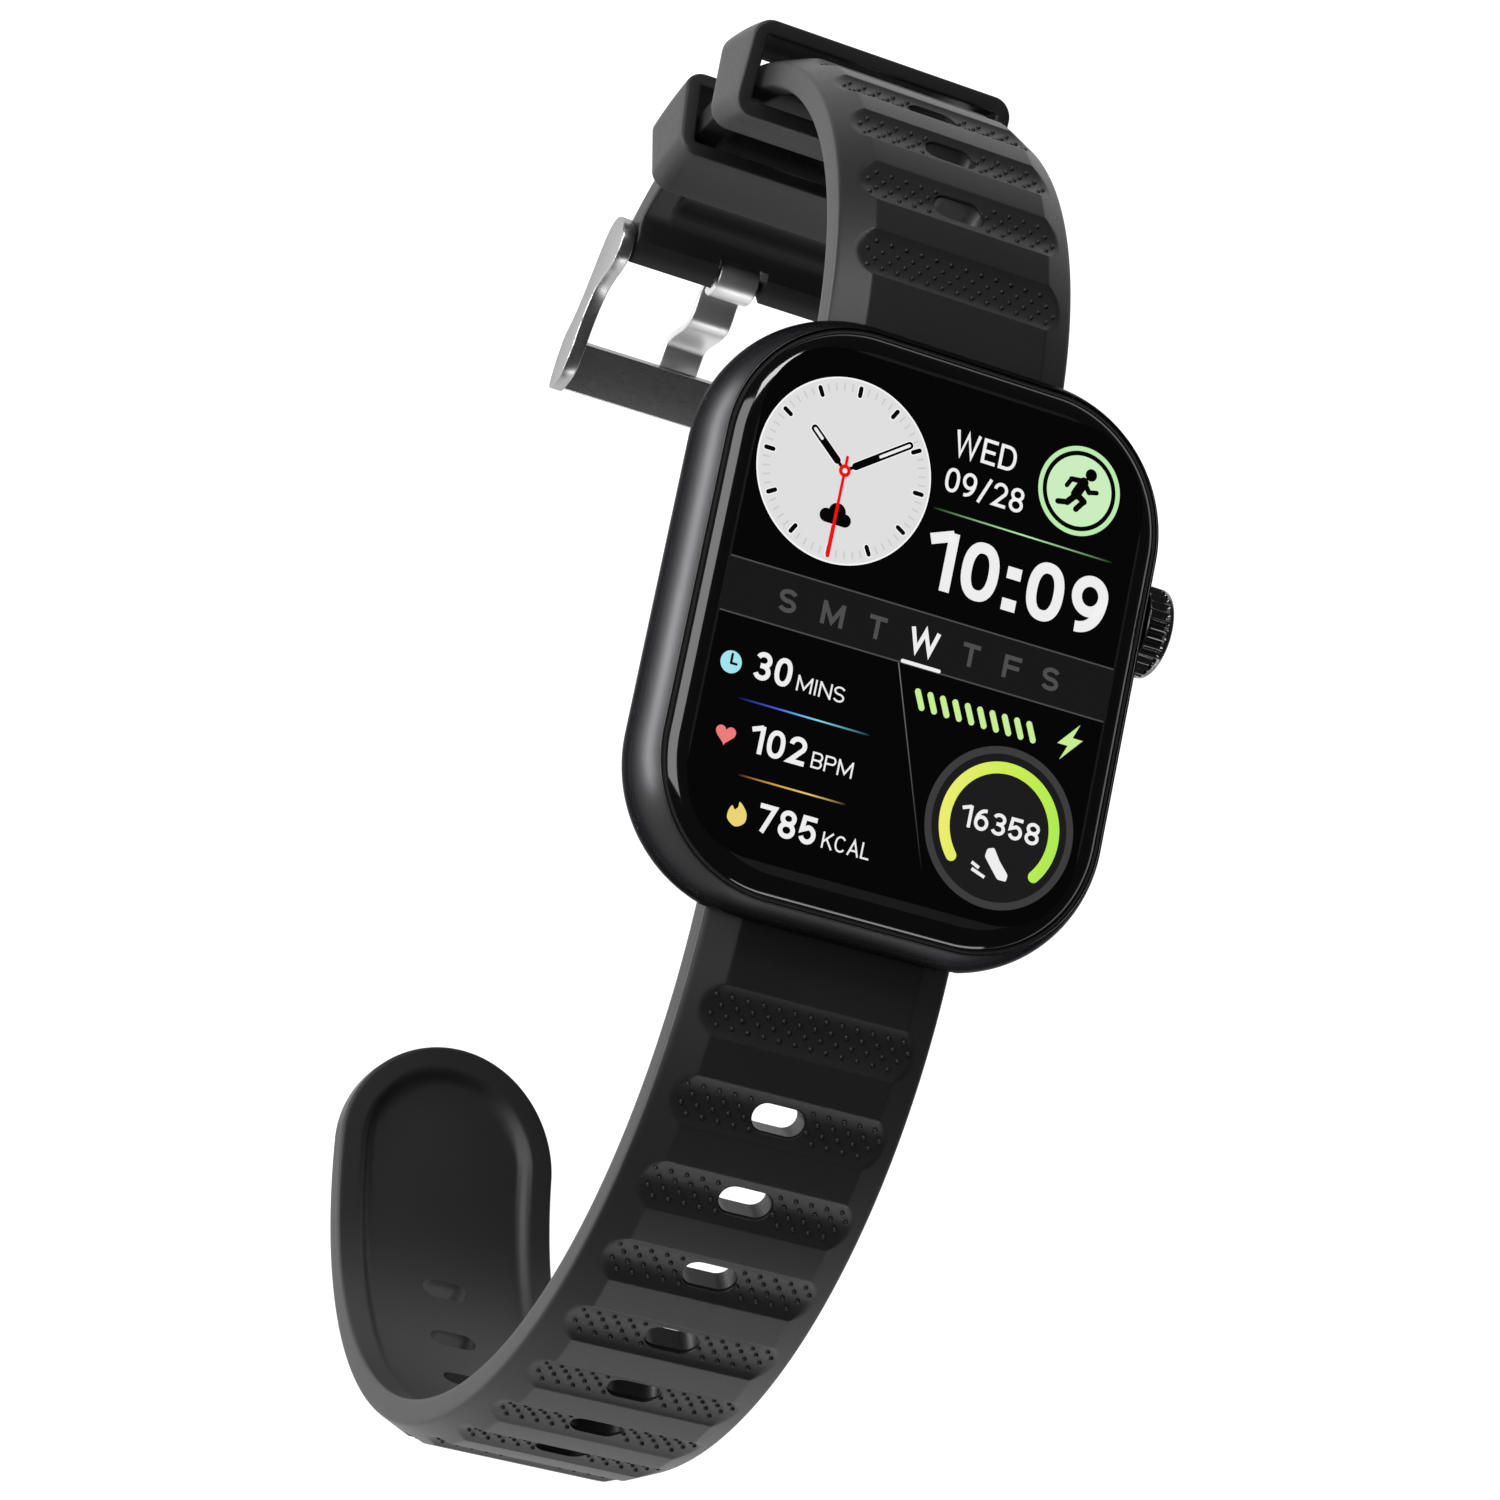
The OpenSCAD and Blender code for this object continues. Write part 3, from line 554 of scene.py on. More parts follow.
def upper_place(s, x, h):
    """Point at arc length s on the wrist face, x across and h out, on the upper strap's arc."""
    r = UPPER["r"]
    a = np.where(s < 0, s / (r + LUG_R), s / r)
    rr = r + h
    return np.stack([x + 0 * rr, UPPER["c"][0] + rr * np.sin(a),
                     UPPER["c"][1] + rr * np.cos(a)], -1)


JOIN = math.radians(90) * LOWER["r"]


def lower_place(s, x, h):
    """The same on the lower strap: one arc to a right angle, then the tighter tail arc."""
    r, rt = LOWER["r"], TAIL["r"]
    first = s <= JOIN
    a = np.where(s < 0, s / (r + LUG_R), np.where(first, s / r, pi / 2 + (s - JOIN) / rt))
    c = np.where(first, LOWER["c"][0], TAIL["c"][0])
    rr = np.where(first, r, rt) + h
    return np.stack([x + 0 * rr, -(c + rr * np.sin(a)), LOWER["c"][1] + rr * np.cos(a)], -1)


def slot_shell(s, place, grow=0.0, floor=-0.8):
    """Stadium-shaped cutter through a strap at arc length s. With grow and a higher floor it
    is a wider, shallow one that breaks the slot's outer edge."""
    a, r = np.linspace(-pi / 2, pi / 2, 15), SLOT_W / 2 + grow
    right = np.c_[(SLOT_L - SLOT_W) / 2 + r * np.cos(a), r * np.sin(a)]
    v, f = prism(np.r_[right, -right], floor, PANEL_T + 1.0)
    return place(s + v[:, 1] * 0.93, v[:, 0], v[:, 2]), f


def lever_window(side):
    """Notch in a strap's lug through which the release lever is reached."""
    v, f = prism([[4.6, -2.7], [9.0, -2.7], [9.0, 1.3], [4.6, 1.3]], -2.7, -0.02)
    return np.c_[v[:, 0], side * (BAR_Y + v[:, 1]), BAR_Z + v[:, 2]], f


def bumps(centres, place):
    """Small domes on each groove's floor: four rows, every other row shifted by half a pitch,
    none where a slot opens, which is in all but the first. Each dome is three rings of eight
    points with a pole."""
    pitch_x, pitch_s, r = 1.34, 0.73, 0.2
    ring_a = np.linspace(0, 2 * pi, 8, endpoint=False)
    levels = np.radians([-25, 10, 50])
    dome = [np.c_[r * math.cos(v) * np.cos(ring_a), r * math.cos(v) * np.sin(ring_a),
                  np.full(8, r * math.sin(v))] for v in levels]
    dome = np.concatenate(dome + [[[0, 0, r]]])
    faces = [q[::-1] for q in grid_faces(3, 8, wrap_v=True)]
    faces += [[16 + i, 16 + (i + 1) % 8, 24] for i in range(8)] + [list(range(8))[::-1]]
    spots = []
    for has_slot, c in enumerate(centres):
        for row in range(4):
            d = (row - 1.5) * pitch_s
            xs = np.arange(-6, 7) * pitch_x + (pitch_x / 2 if row % 2 else 0.0) - 0.15
            drop = GROOVE_R - math.sqrt(GROOVE_R ** 2 - d ** 2)
            floor = PANEL_T - GROOVE_D + drop
            reach = PANEL_W / 2 + (PANEL_T - floor) / (PANEL_T - WALL_T) * 2.8 - 0.3
            xs = xs[np.abs(xs) < reach]
            if has_slot:
                away = np.hypot(np.maximum(np.abs(xs) - (SLOT_L - SLOT_W) / 2, 0), d)
                xs = xs[away > SLOT_W / 2 + 0.32]
            spots += [(c + d, x, floor + 0.02) for x in xs]
    spots = np.array(spots)
    verts = spots[:, None, [1, 0, 2]] + dome[None]
    pts = place(verts[..., 1], verts[..., 0], verts[..., 2]).reshape(-1, 3)
    n = len(dome)
    return pts, [[i + k * n for i in f] for k in range(len(spots)) for f in faces]


upper_len = math.radians(UPPER["end"]) * UPPER["r"]
out_u = UPPER["r"] + PANEL_T
upper_centres = [(math.radians(UPPER["first"]) + i * PITCH / out_u) * UPPER["r"]
                 for i in range(UPPER["grooves"])]
out_l, out_t = LOWER["r"] + PANEL_T, TAIL["r"] + PANEL_T
lower_angles = [math.radians(LOWER["first"]) + i * PITCH / out_l for i in range(LOWER["grooves"])]
on_first = [a for a in lower_angles if a < pi / 2]
left_over = (pi / 2 - on_first[-1]) / (PITCH / out_l)
tail_angles = [pi / 2 + (1 - left_over + i) * PITCH / out_t
               for i in range(LOWER["grooves"] - len(on_first))]
lower_centres = [a * LOWER["r"] for a in on_first]
lower_centres += [JOIN + (a - pi / 2) * TAIL["r"] for a in tail_angles]
lower_len = JOIN + math.radians(TAIL["end"] - 90) * TAIL["r"]
round_at = lower_len - STRAP_W / 2


def knuckle_swell(s):
    """Thickens the wrist side of the upper strap's last few millimetres into a round knuckle."""
    c = upper_len - 0.2
    return 1.8 * np.sqrt(np.clip(1 - ((s - c) / 3.2) ** 2, 0, 1)) * smoothstep((s - c + 3.2) / 1.2)


def buckle_point(u, w, x):
    """Point in the buckle's frame: u away from the bar, w outwards, x across."""
    p, d = math.radians(BUCKLE_ANGLE), math.radians(FRAME_DIR)
    y0 = UPPER["c"][0] + BUCKLE_R * math.sin(p)
    z0 = UPPER["c"][1] + BUCKLE_R * math.cos(p)
    u, w = np.asarray(u, float), np.asarray(w, float)
    return np.stack([x + 0 * u, y0 + u * math.cos(d) + w * math.sin(d),
                     z0 - u * math.sin(d) + w * math.cos(d)], -1)


def tongue_notch():
    """Box that frees the tongue's roll at the end of the upper strap."""
    v, f = prism([[-2.4, -2.4], [2.4, -2.4], [2.4, 6.0], [-2.4, 6.0]], -6.0, 6.0)
    d = math.radians(BUCKLE_ANGLE - FRAME_DIR)
    u = v[:, 1] * math.cos(d) + v[:, 2] * math.sin(d)
    w = -v[:, 1] * math.sin(d) + v[:, 2] * math.cos(d)
    return buckle_point(u, w, v[:, 0]), f


RIM_CUT = dict(grow=0.14, floor=PANEL_T - GROOVE_D - 0.10)
BORE_R = 0.9
halves = (
    ("upper", 1, upper_centres, upper_place, [tongue_notch()],
     dict(length=upper_len + 1.2, knuckle=knuckle_swell,
          recess=(math.radians(9) * UPPER["r"], math.radians(127) * UPPER["r"]))),
    ("lower", -1, lower_centres, lower_place, [],
     dict(length=lower_len, round_start=round_at, recess=(math.radians(8) * LOWER["r"], None))))
for half, side, centres, place, notches, shape in halves:
    name = half + "_strap"
    strap = new_object(name + "_silicone",
                       *solid([strap_shell(centres=centres, place=place, **shape)]), 30)
    cut(strap, [slot_shell(s, place) for s in centres[1:]], 30)
    cut(strap, [slot_shell(s, place, **RIM_CUT) for s in centres[1:]], 30)
    cut(strap, notches + [lever_window(side)], 30)
    cut(strap, [x_cylinder(BORE_R, -12, 12, side * BAR_Y, BAR_Z, 32)], 30)
    piece(strap, M["strap"], name, "strap_rubber", name)

for half, side, centres, place, *_ in halves:
    v, f = bumps(centres, place)
    piece(new_object(half + "_strap_bumps", v, [q[::side] for q in f], 80), M["strap"],
          half + "_strap", "strap_rubber")


# ---------------------------------------------------------------- loops
def wall_section(t, half_len, f):
    """Rounded rectangle in [0, 1] across a wall of thickness t and [-1, 1] along its length."""
    k = np.radians(np.linspace(0, 90, 6))
    quarter = np.c_[np.cos(k), np.sin(k)] * f
    corners = []
    for cx, cy, turn in ((t - f, half_len - f, 0), (f, half_len - f, 1), (f, -half_len + f, 2),
                         (t - f, -half_len + f, 3)):
        c, s = math.cos(turn * pi / 2), math.sin(turn * pi / 2)
        q = quarter @ np.array([[c, s], [-s, c]])
        corners.append(q + [cx, cy])
    run = np.linspace(1, -1, 8)[1:-1, None]
    long_in = np.c_[np.zeros(6), (half_len - f) * run[:, 0]]
    long_out = np.c_[np.full(6, t), (half_len - f) * -run[:, 0]]
    o = np.concatenate([corners[0], corners[1], long_in, corners[2], corners[3], long_out])
    return o / [t, half_len]


def loop_shell(angle):
    """Rectangular ring bent along the strap: a rounded wall section carried round matching
    outer and inner outlines, point = inner + a * (outer - inner), and b along the arc."""
    mid, half_w, half_open = UPPER["r"] + PANEL_T / 2, 11.0, 2.9
    outer = rounded_outline(2 * (half_w + LOOP_WALL), 2 * (half_open + LOOP_WALL), 1.8, 10, 12)
    inner = rounded_outline(2 * half_w, 2 * half_open, 0.22, 10, 12)
    a, b = wall_section(LOOP_WALL, LOOP_LEN / 2, 0.26).T
    p = inner[:, None, :] + a[None, :, None] * (outer - inner)[:, None, :]
    phi = math.radians(angle) + b[None, :] * (LOOP_LEN / 2 / mid)
    rr = mid + p[..., 1]
    verts = np.stack([p[..., 0], UPPER["c"][0] + rr * np.sin(phi),
                      UPPER["c"][1] + rr * np.cos(phi)], -1)
    return verts.reshape(-1, 3), grid_faces(*p.shape[:2], wrap_u=True, wrap_v=True)


for which, angle in (("free", 87), ("buckle", 112)):
    piece(new_object(which + "_strap_loop", *solid([loop_shell(angle)]), 30), M["loop"],
          which + "_loop", "loop_rubber", which + "_loop")


# ---------------------------------------------------------------- buckle
arm_curve = spline_loop([[-2.4, 0.3], [-2.3, -1.2], [-1.3, -2.5], [0.2, -2.85], [1.6, -2.35],
                         [2.9, -1.45], [4.4, -0.7], [6.4, -0.38], [8.7, -0.42], [10.8, -0.66],
                         [12.7, -0.5], [14.1, 0.35], [15.1, 1.25], [15.0, 1.75], [13.6, 2.3],
                         [12.0, 2.65], [10.4, 2.75], [8.4, 2.3], [6.2, 2.08], [3.6, 2.06],
                         [1.2, 2.05], [-0.6, 1.85], [-1.8, 1.25]])
ARM_T, ARM_INSIDE = 1.3, 10.8
arms = [filleted_plate(arm_curve, x0, x0 + ARM_T, 0.16, buckle_point)
        for x0 in (-ARM_INSIDE - ARM_T, ARM_INSIDE)]
strip_outline = rounded_polygon([[10.3, 1.45], [14.95, 1.45], [14.95, 1.85], [10.3, 2.6]], 0.16, 5)
sv, sf = prism(strip_outline, -ARM_INSIDE - 0.3, ARM_INSIDE + 0.3)
end_strip = (buckle_point(sv[:, 0], sv[:, 1], sv[:, 2]), sf)
piece(new_object("buckle_frame_steel", *solid(arms + [end_strip]), 30), M["buckle"], "buckle",
      "buckle_steel", "buckle_frame")


ROLL_R, TIP_U, TONGUE_HALF_W, TONGUE_HALF_T = 1.6, 13.2, 1.95, 0.36


def tongue_mid(u):
    """Height of the tongue's middle line: level, a shallow dip, a steep rise, a falling tip."""
    dip = ROLL_R - 0.15 * (1 - np.cos(pi * (u - 2.4) / 2.2))
    rise = 1.3 + 2.0 * (1 - np.cos(pi * (u - 4.6) / 4.4))
    return np.select([u < 2.4, u < 4.6, u < 9], [ROLL_R, dip, rise], 5.3 - 0.13 * (u - 9))


def tongue_shell():
    """Steel strip rolled round the bar: a rounded flat section carried along the roll's
    circle and then along the middle line, its width closing in a half circle at the tip."""
    a = np.radians(np.linspace(375, 92, 56))
    roll = ROLL_R * np.c_[np.cos(a), np.sin(a)]
    tip = TIP_U + TONGUE_HALF_W * np.sin(np.linspace(0, pi / 2, 14))[1:]
    u = np.r_[np.linspace(0, TIP_U, 110), tip]
    path = np.concatenate([roll, np.c_[u, tongue_mid(u)]])
    over = np.clip((u - TIP_U) / TONGUE_HALF_W, 0, 0.99999)
    wide = np.r_[np.full(len(roll), TONGUE_HALF_W), TONGUE_HALF_W * np.sqrt(1 - over ** 2) + 0.01]
    t = np.gradient(path, axis=0)
    t /= np.linalg.norm(t, axis=1)[:, None]
    normal = np.c_[-t[:, 1], t[:, 0]]
    half_t, f = TONGUE_HALF_T, 0.18
    k = np.radians(np.linspace(0, 90, 5))
    q = np.c_[np.cos(k), np.sin(k)]
    sec = np.concatenate([q * f + [1 - f, half_t - f], q[::-1] * [-f, f] + [-(1 - f), half_t - f],
                          q * [-f, -f] + [-(1 - f), -(half_t - f)],
                          q[::-1] * [f, -f] + [1 - f, -(half_t - f)]])
    side = sec[:, 0] - np.sign(sec[:, 0]) * (1 - f)
    x = np.sign(sec[:, 0]) * np.maximum(wide[:, None] - f, 0) + side[None, :]
    p = path[:, None, :] + normal[:, None, :] * sec[None, :, 1:2]
    return tube(buckle_point(p[..., 0], p[..., 1], x))


piece(new_object("buckle_tongue_steel", *solid([tongue_shell()]), 35), M["tongue"], "tongue",
      "tongue_steel", "buckle_tongue")

# ---------------------------------------------------------------- carried-over solids
CAD_FINISH = {
    "back_cover": "back", "back_gasket": "seal", "back_screws": "pin", "sensor_window": "sensor",
    "sensor_board": "board", "charge_contacts": "contact", "glass_gasket": "seal",
    "display_panel": "bezel", "display_flex": "flex", "inner_bracket": "bracket",
    "mainboard": "board", "shield_can": "shield", "battery": "battery",
    "vibration_motor": "shield", "antenna_flex": "flex", "crown_tube": "pin",
    "crown_switch": "bracket", "crown_plunger": "bracket", "crown_stem": "pin",
    "crown_seal": "seal", "buckle_bar": "pin",
}
CAD_FINISH.update({end + part: "pin" for end in ("upper_", "lower_")
                   for part in ("bar_tube", "bar_pin", "bar_spring", "release_pin")})
for name, finish in CAD_FINISH.items():
    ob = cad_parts[name]
    ob.data.materials.clear()
    ob.data.materials.append(M[finish])

# ---------------------------------------------------------------- screen
LAYER = 0.012


def flat(name, shells, layer, mat):
    """Joins thin closed shells of the screen at a layer just above the glass."""
    z0 = GLASS_TOP + 0.004 + layer * LAYER
    out = []
    for v, f in shells:
        v = np.array(v, float)
        v[:, 2] = np.where(v[:, 2] > 0.5, z0 + LAYER * 0.8, z0)
        out.append((v, f))
    return piece(new_object(name, *solid(out), 30), mat, "case", "display")


def disc(x, y, r, n):
    """Flat disc."""
    a = np.linspace(0, 2 * pi, n, endpoint=False)
    return prism(np.c_[x + r * np.cos(a), y + r * np.sin(a)], 0, 1)


def ring(x, y, r0, r1, n=96):
    """Flat whole ring between two radii."""
    a = np.linspace(0, 2 * pi, n, endpoint=False)
    way = np.c_[np.cos(a), np.sin(a)]
    stack = np.stack([np.c_[[x, y] + r * way, np.full(n, z)]
                      for r, z in ((r1, 0.0), (r1, 1.0), (r0, 1.0), (r0, 0.0))])
    return stack.reshape(-1, 3), grid_faces(4, n, wrap_u=True, wrap_v=True)


def arc_band(x, y, r0, r1, a0, a1, n=96):
    """Flat arc between two radii with round ends."""
    def points(radius, angle, cx=x, cy=y):
        """Points of a circle at the angles."""
        return np.c_[cx + radius * np.cos(angle), cy + radius * np.sin(angle)]
    a, k = np.radians(np.linspace(a0, a1, n + 1)), np.linspace(0, pi, 13)[1:-1]
    mid, half = (r0 + r1) / 2, (r1 - r0) / 2
    last, first = points(mid, a[-1])[0], points(mid, a[0])[0]
    return prism(np.concatenate([points(r1, a), points(half, a[-1] + k, *last),
                                 points(r0, a)[::-1], points(half, a[0] + pi + k, *first)]), 0, 1)


def bar(x0, y0, x1, y1, w, round_ends=True, n=8):
    """Straight stroke of width w between two points."""
    d = np.array([x1 - x0, y1 - y0], float)
    t = math.atan2(d[1], d[0])
    k = np.linspace(-pi / 2, pi / 2, n if round_ends else 2)
    a = np.c_[x1 + w / 2 * np.cos(t + k), y1 + w / 2 * np.sin(t + k)]
    b = np.c_[x0 + w / 2 * np.cos(t + pi + k), y0 + w / 2 * np.sin(t + pi + k)]
    return prism(np.concatenate([a, b]), 0, 1)


def strip(x0, x1, y0, y1):
    """Flat rectangle."""
    return prism([[x0, y1], [x0, y0], [x1, y0], [x1, y1]], 0, 1)


def ribbon(path, w):
    """Flat stroke of width w along a path: each point is offset both ways along the
    mitre of its two neighbouring segments. A path that ends where it starts is closed."""
    p = np.asarray(path, float)
    p = p[np.r_[True, np.linalg.norm(np.diff(p, axis=0), axis=1) > 1e-6]]
    closed = np.linalg.norm(p[0] - p[-1]) < 1e-6
    p = p[:-1] if closed else p
    nxt, prv = np.roll(p, -1, 0) - p, p - np.roll(p, 1, 0)
    if not closed:
        nxt[-1], prv[0] = prv[-1], nxt[0]
    nxt /= np.linalg.norm(nxt, axis=1)[:, None]
    prv /= np.linalg.norm(prv, axis=1)[:, None]
    n0, n1 = np.c_[-prv[:, 1], prv[:, 0]], np.c_[-nxt[:, 1], nxt[:, 0]]
    m = n0 + n1
    m = m / np.maximum((m * m).sum(1) / 2, 0.22)[:, None] * (w / 2)
    k = len(p)
    low, high = np.zeros((k, 1)), np.ones((k, 1))
    stack = np.stack([np.c_[p + m, low], np.c_[p + m, high], np.c_[p - m, high], np.c_[p - m, low]])
    faces = grid_faces(4, k, wrap_u=True, wrap_v=closed)
    if not closed:
        faces += [[0, k, 2 * k, 3 * k][::-1], [k - 1, 2 * k - 1, 3 * k - 1, 4 * k - 1]]
    return stack.reshape(-1, 3), faces


def arc_pts(cx, cy, rx, ry, a0, a1, n=22, power=1.0):
    """Arc of an ellipse, squarer as the power falls below one."""
    a = np.radians(np.linspace(a0, a1, n))
    c, s = np.cos(a), np.sin(a)
    return np.c_[cx + rx * np.sign(c) * np.abs(c) ** power,
                 cy + ry * np.sign(s) * np.abs(s) ** power]


def glyph(ch, wide, w, tall):
    """Strokes of one plain character in a box wide by tall, with stroke width w."""
    i = w / 2
    l, r, b, t, cx, cy = i, wide - i, i, tall - i, wide / 2, tall / 2
    rx, ry = (r - l) / 2, (t - b) / 2
    q = ry / 2
    join = lambda *runs: np.concatenate(runs)
    stem, foot, head = [[l, 0], [l, tall]], [[l, b], [wide, b]], [[l, t], [wide, t]]
    if ch == "0":
        return [arc_pts(cx, cy, rx, ry, 0, 360, 49, 0.86)]
    if ch == "1":
        return [[[r, 0], [r, tall]], [[0, tall * 0.80], [r, tall * 0.955]]]
    if ch == "2":
        return [join(arc_pts(cx, t - ry * 0.56, rx, ry * 0.56, 178, -32),
                     [[l + 0.02 * tall, b], [wide, b]])]
    if ch == "3":
        waist = cx - rx * 0.4
        return [join(arc_pts(cx, t - q * 0.98, rx * 0.94, q * 0.98, 160, -90),
                     [[waist, t - q * 1.96]]),
                join([[waist, b + q * 2.04]], arc_pts(cx, b + q * 1.02, rx, q * 1.02, 90, -160))]
    if ch == "5":
        bowl = arc_pts(cx, b + ry * 0.62, rx, ry * 0.62, 128, -158)
        return [join([[wide * 0.94, t], [l + rx * 0.22, t], [l + rx * 0.05, b + ry * 0.95]],
                     bowl[3:])]
    if ch in "69":
        bowl = arc_pts(cx, b + ry * 0.64, rx, ry * 0.64, 0, 360, 37)
        u = np.linspace(0, 1, 18)[:, None]
        tail = ((1 - u) ** 3 * [cx + rx * 0.75, t]
                + 3 * u * (1 - u) ** 2 * [cx - rx * 0.35, t + 0.01]
                + 3 * u ** 2 * (1 - u) * [l, b + ry * 1.45] + u ** 3 * [l, b + ry * 0.62])
        return [bowl, tail] if ch == "6" else [[wide, tall] - bowl, [wide, tall] - tail]
    if ch == "7":
        return [[[0, t], [r, t], [wide * 0.32, 0]]]
    if ch == "8":
        return [arc_pts(cx, t - q * 0.96, rx * 0.92, q * 0.96, 0, 360, 37),
                arc_pts(cx, b + q * 1.04, rx, q * 1.04, 0, 360, 37)]
    if ch == "/":
        return [[[i * 0.6, -tall * 0.06], [wide - i * 0.6, tall]]]
    if ch == ":":
        return [[[0, tall * 0.10], [wide, tall * 0.10]], [[0, tall * 0.64], [wide, tall * 0.64]]]
    if ch == "W":
        return [[[i * 0.8, tall], [wide * 0.27, 0.3 * w], [cx, tall * 0.92], [wide * 0.73, 0.3 * w],
                 [wide - i * 0.8, tall]]]
    if ch == "M":
        return [stem, [[r, 0], [r, tall]],
                [[l, tall - 0.4 * w], [cx, tall * 0.18], [r, tall - 0.4 * w]]]
    if ch == "N":
        return [stem, [[r, 0], [r, tall]], [[l, tall - 0.4 * w], [r, 0.4 * w]]]
    if ch == "I":
        return [[[cx, 0], [cx, tall]]]
    if ch == "E":
        return [stem, foot, head, [[l, tall * 0.5], [wide * 0.92, tall * 0.5]]]
    if ch == "F":
        return [stem, head, [[l, tall * 0.5], [wide * 0.92, tall * 0.5]]]
    if ch == "L":
        return [stem, foot]
    if ch == "T":
        return [[[0, t], [wide, t]], [[cx, 0], [cx, tall]]]
    if ch == "D":
        return [join([[l, b]], arc_pts(cx * 0.9, cy, r - cx * 0.9, ry, -90, 90, 22, 0.9),
                     [[l, t], [l, b]])]
    if ch in "BP":
        upper_bowl = join([[l, t]], arc_pts(r - q * 0.95, t - q, q * 0.95, q, 90, -90, 14),
                          [[l, t - 2 * q]])
        lower_bowl = join([[l, b]], arc_pts(r - q, b + q, q, q, -90, 90, 14), [[l, b + 2 * q]])
        return [upper_bowl, stem] + ([lower_bowl] if ch == "B" else [])
    if ch == "K":
        return [stem, [[wide - i * 0.8, tall], [l + 0.2 * w, tall * 0.40]],
                [[wide - i * 0.6, 0], [wide * 0.38, tall * 0.60]]]
    if ch == "C":
        return [arc_pts(cx, cy, rx, ry, 38, 322, 30, 0.9)]
    if ch == "A":
        return [[[i * 0.7, 0], [cx, tall - 0.5 * w], [wide - i * 0.7, 0]],
                [[wide * 0.22, tall * 0.32], [wide * 0.78, tall * 0.32]]]
    return [join(arc_pts(cx, t - q, rx, q, 22, 268), arc_pts(cx, b + q, rx, q, 92, -158))]  # S


# letter widths over height; all others are 0.57
WIDTHS = {":": 0.22, "/": 0.46, "1": 0.42, "I": 0.16, "W": 0.92, "M": 0.84, "E": 0.54, "F": 0.52,
          "L": 0.52, "A": 0.70, "D": 0.64, "C": 0.68, "K": 0.66, "N": 0.70, "T": 0.62, "P": 0.62,
          "B": 0.60, "S": 0.62}


def words(name, text, x0, x1, y0, y1, mat, stroke):
    """Plain stroke lettering fitted into a box; stroke is its weight over its height."""
    tall, gap, layer = y1 - y0, 0.12, 3
    widths = [WIDTHS.get(c, 0.57) for c in text]
    scale = (x1 - x0) / ((sum(widths) + gap * (len(text) - 1)) * tall)
    at, shells = x0, []
    for c, n in zip(text, widths):
        wide, w = n * tall * scale, stroke * tall * (1.1 if c == ":" else 1.0)
        shells += [ribbon(np.asarray(path, float) + [at, y0], w)
                   for path in glyph(c, wide, w, tall)]
        at += wide + gap * tall * scale
    return flat(name, shells, layer, mat)


SCREEN = dict(
    white=(0.86,) * 3, dial=(0.74,) * 3, dial_rim=(0.95,) * 3, ink=(0.0,) * 3, faint=(0.60,) * 3,
    red=(0.88, 0.004, 0.006), green=(0.50, 0.84, 0.42), pale_green=(0.60, 0.86, 0.52),
    lime=(0.58, 0.86, 0.30), grey=(0.075,) * 3, band=(0.008,) * 3, band_edge=(0.07,) * 3,
    gauge=(0.010, 0.010, 0.011), gauge_ring=(0.045,) * 3, cyan=(0.36, 0.78, 0.86),
    pink=(0.85, 0.20, 0.20), amber=(0.84, 0.66, 0.18))
(WHITE, DIAL, DIAL_RIM, INK, FAINT, RED, GREEN, PALE_GREEN, LIME, GREY, BAND, BAND_EDGE, GAUGE,
 GAUGE_RING, CYAN, PINK, AMBER) = (lit("screen_" + name, color) for name, color in SCREEN.items())

flat("screen_bezel", [prism(rounded_outline(36.6 - 3.0, 44.6 - 3.0, 8.9 - 0.02, 24), 0, 1)], -0.2,
     M["bezel"])
flat("screen_black", [prism(rounded_outline(33.25, 40.6, 6.4, 24) + [0, 0.245], 0, 1)], 0, INK)

# analogue dial
DX, DY = -8.96, 11.1
flat("dial_rim", [disc(DX, DY, 7.33, 120)], 1, DIAL_RIM)
flat("dial_face", [disc(DX, DY, 7.2, 120)], 2, DIAL)
marks, halos, minutes = [], [], []
for i in range(60):
    a = math.radians(6 * i)
    s, c = math.sin(a), math.cos(a)
    if i % 5 == 0:
        marks.append(bar(DX + 6.08 * s, DY + 6.08 * c, DX + 6.68 * s, DY + 6.68 * c, 0.36))
        halos.append(bar(DX + 6.08 * s, DY + 6.08 * c, DX + 6.68 * s, DY + 6.68 * c, 0.52))
    else:
        minutes.append(bar(DX + 6.3 * s, DY + 6.3 * c, DX + 6.8 * s, DY + 6.8 * c, 0.13))
flat("dial_mark_halos", halos, 3, DIAL_RIM)
flat("dial_minutes", minutes, 3, FAINT)
flat("dial_marks", marks, 4, INK)
cloud = [disc(DX - 0.75, DY - 3.75, 0.55, 40), disc(DX + 0.1, DY - 3.3, 0.72, 40),
         disc(DX + 0.85, DY - 3.8, 0.52, 40), bar(DX - 0.75, DY - 3.95, DX + 0.85, DY - 3.97, 0.7)]
for i, sh in enumerate(cloud):
    flat("dial_cloud_%d" % i, [sh], 3 + 0.1 * i, INK)


def hand(name, angle, length, start, slit):
    """Baton hand: a thin neck, a wide black blade and a white slit near its tip."""
    s, c = math.sin(math.radians(angle)), math.cos(math.radians(angle))
    at = lambda d: (DX + d * s, DY + d * c)
    flat(name + "_halo", [bar(*at(start), *at(length), 0.74)], 5, DIAL_RIM)
    flat(name + "_neck", [bar(*at(0), *at(start + 0.3), 0.26)], 5.5, INK)
    flat(name + "_blade", [bar(*at(start), *at(length), 0.60)], 6, INK)
    flat(name + "_slit", [bar(*at(slit), *at(length - 0.05), 0.24)], 7, WHITE)


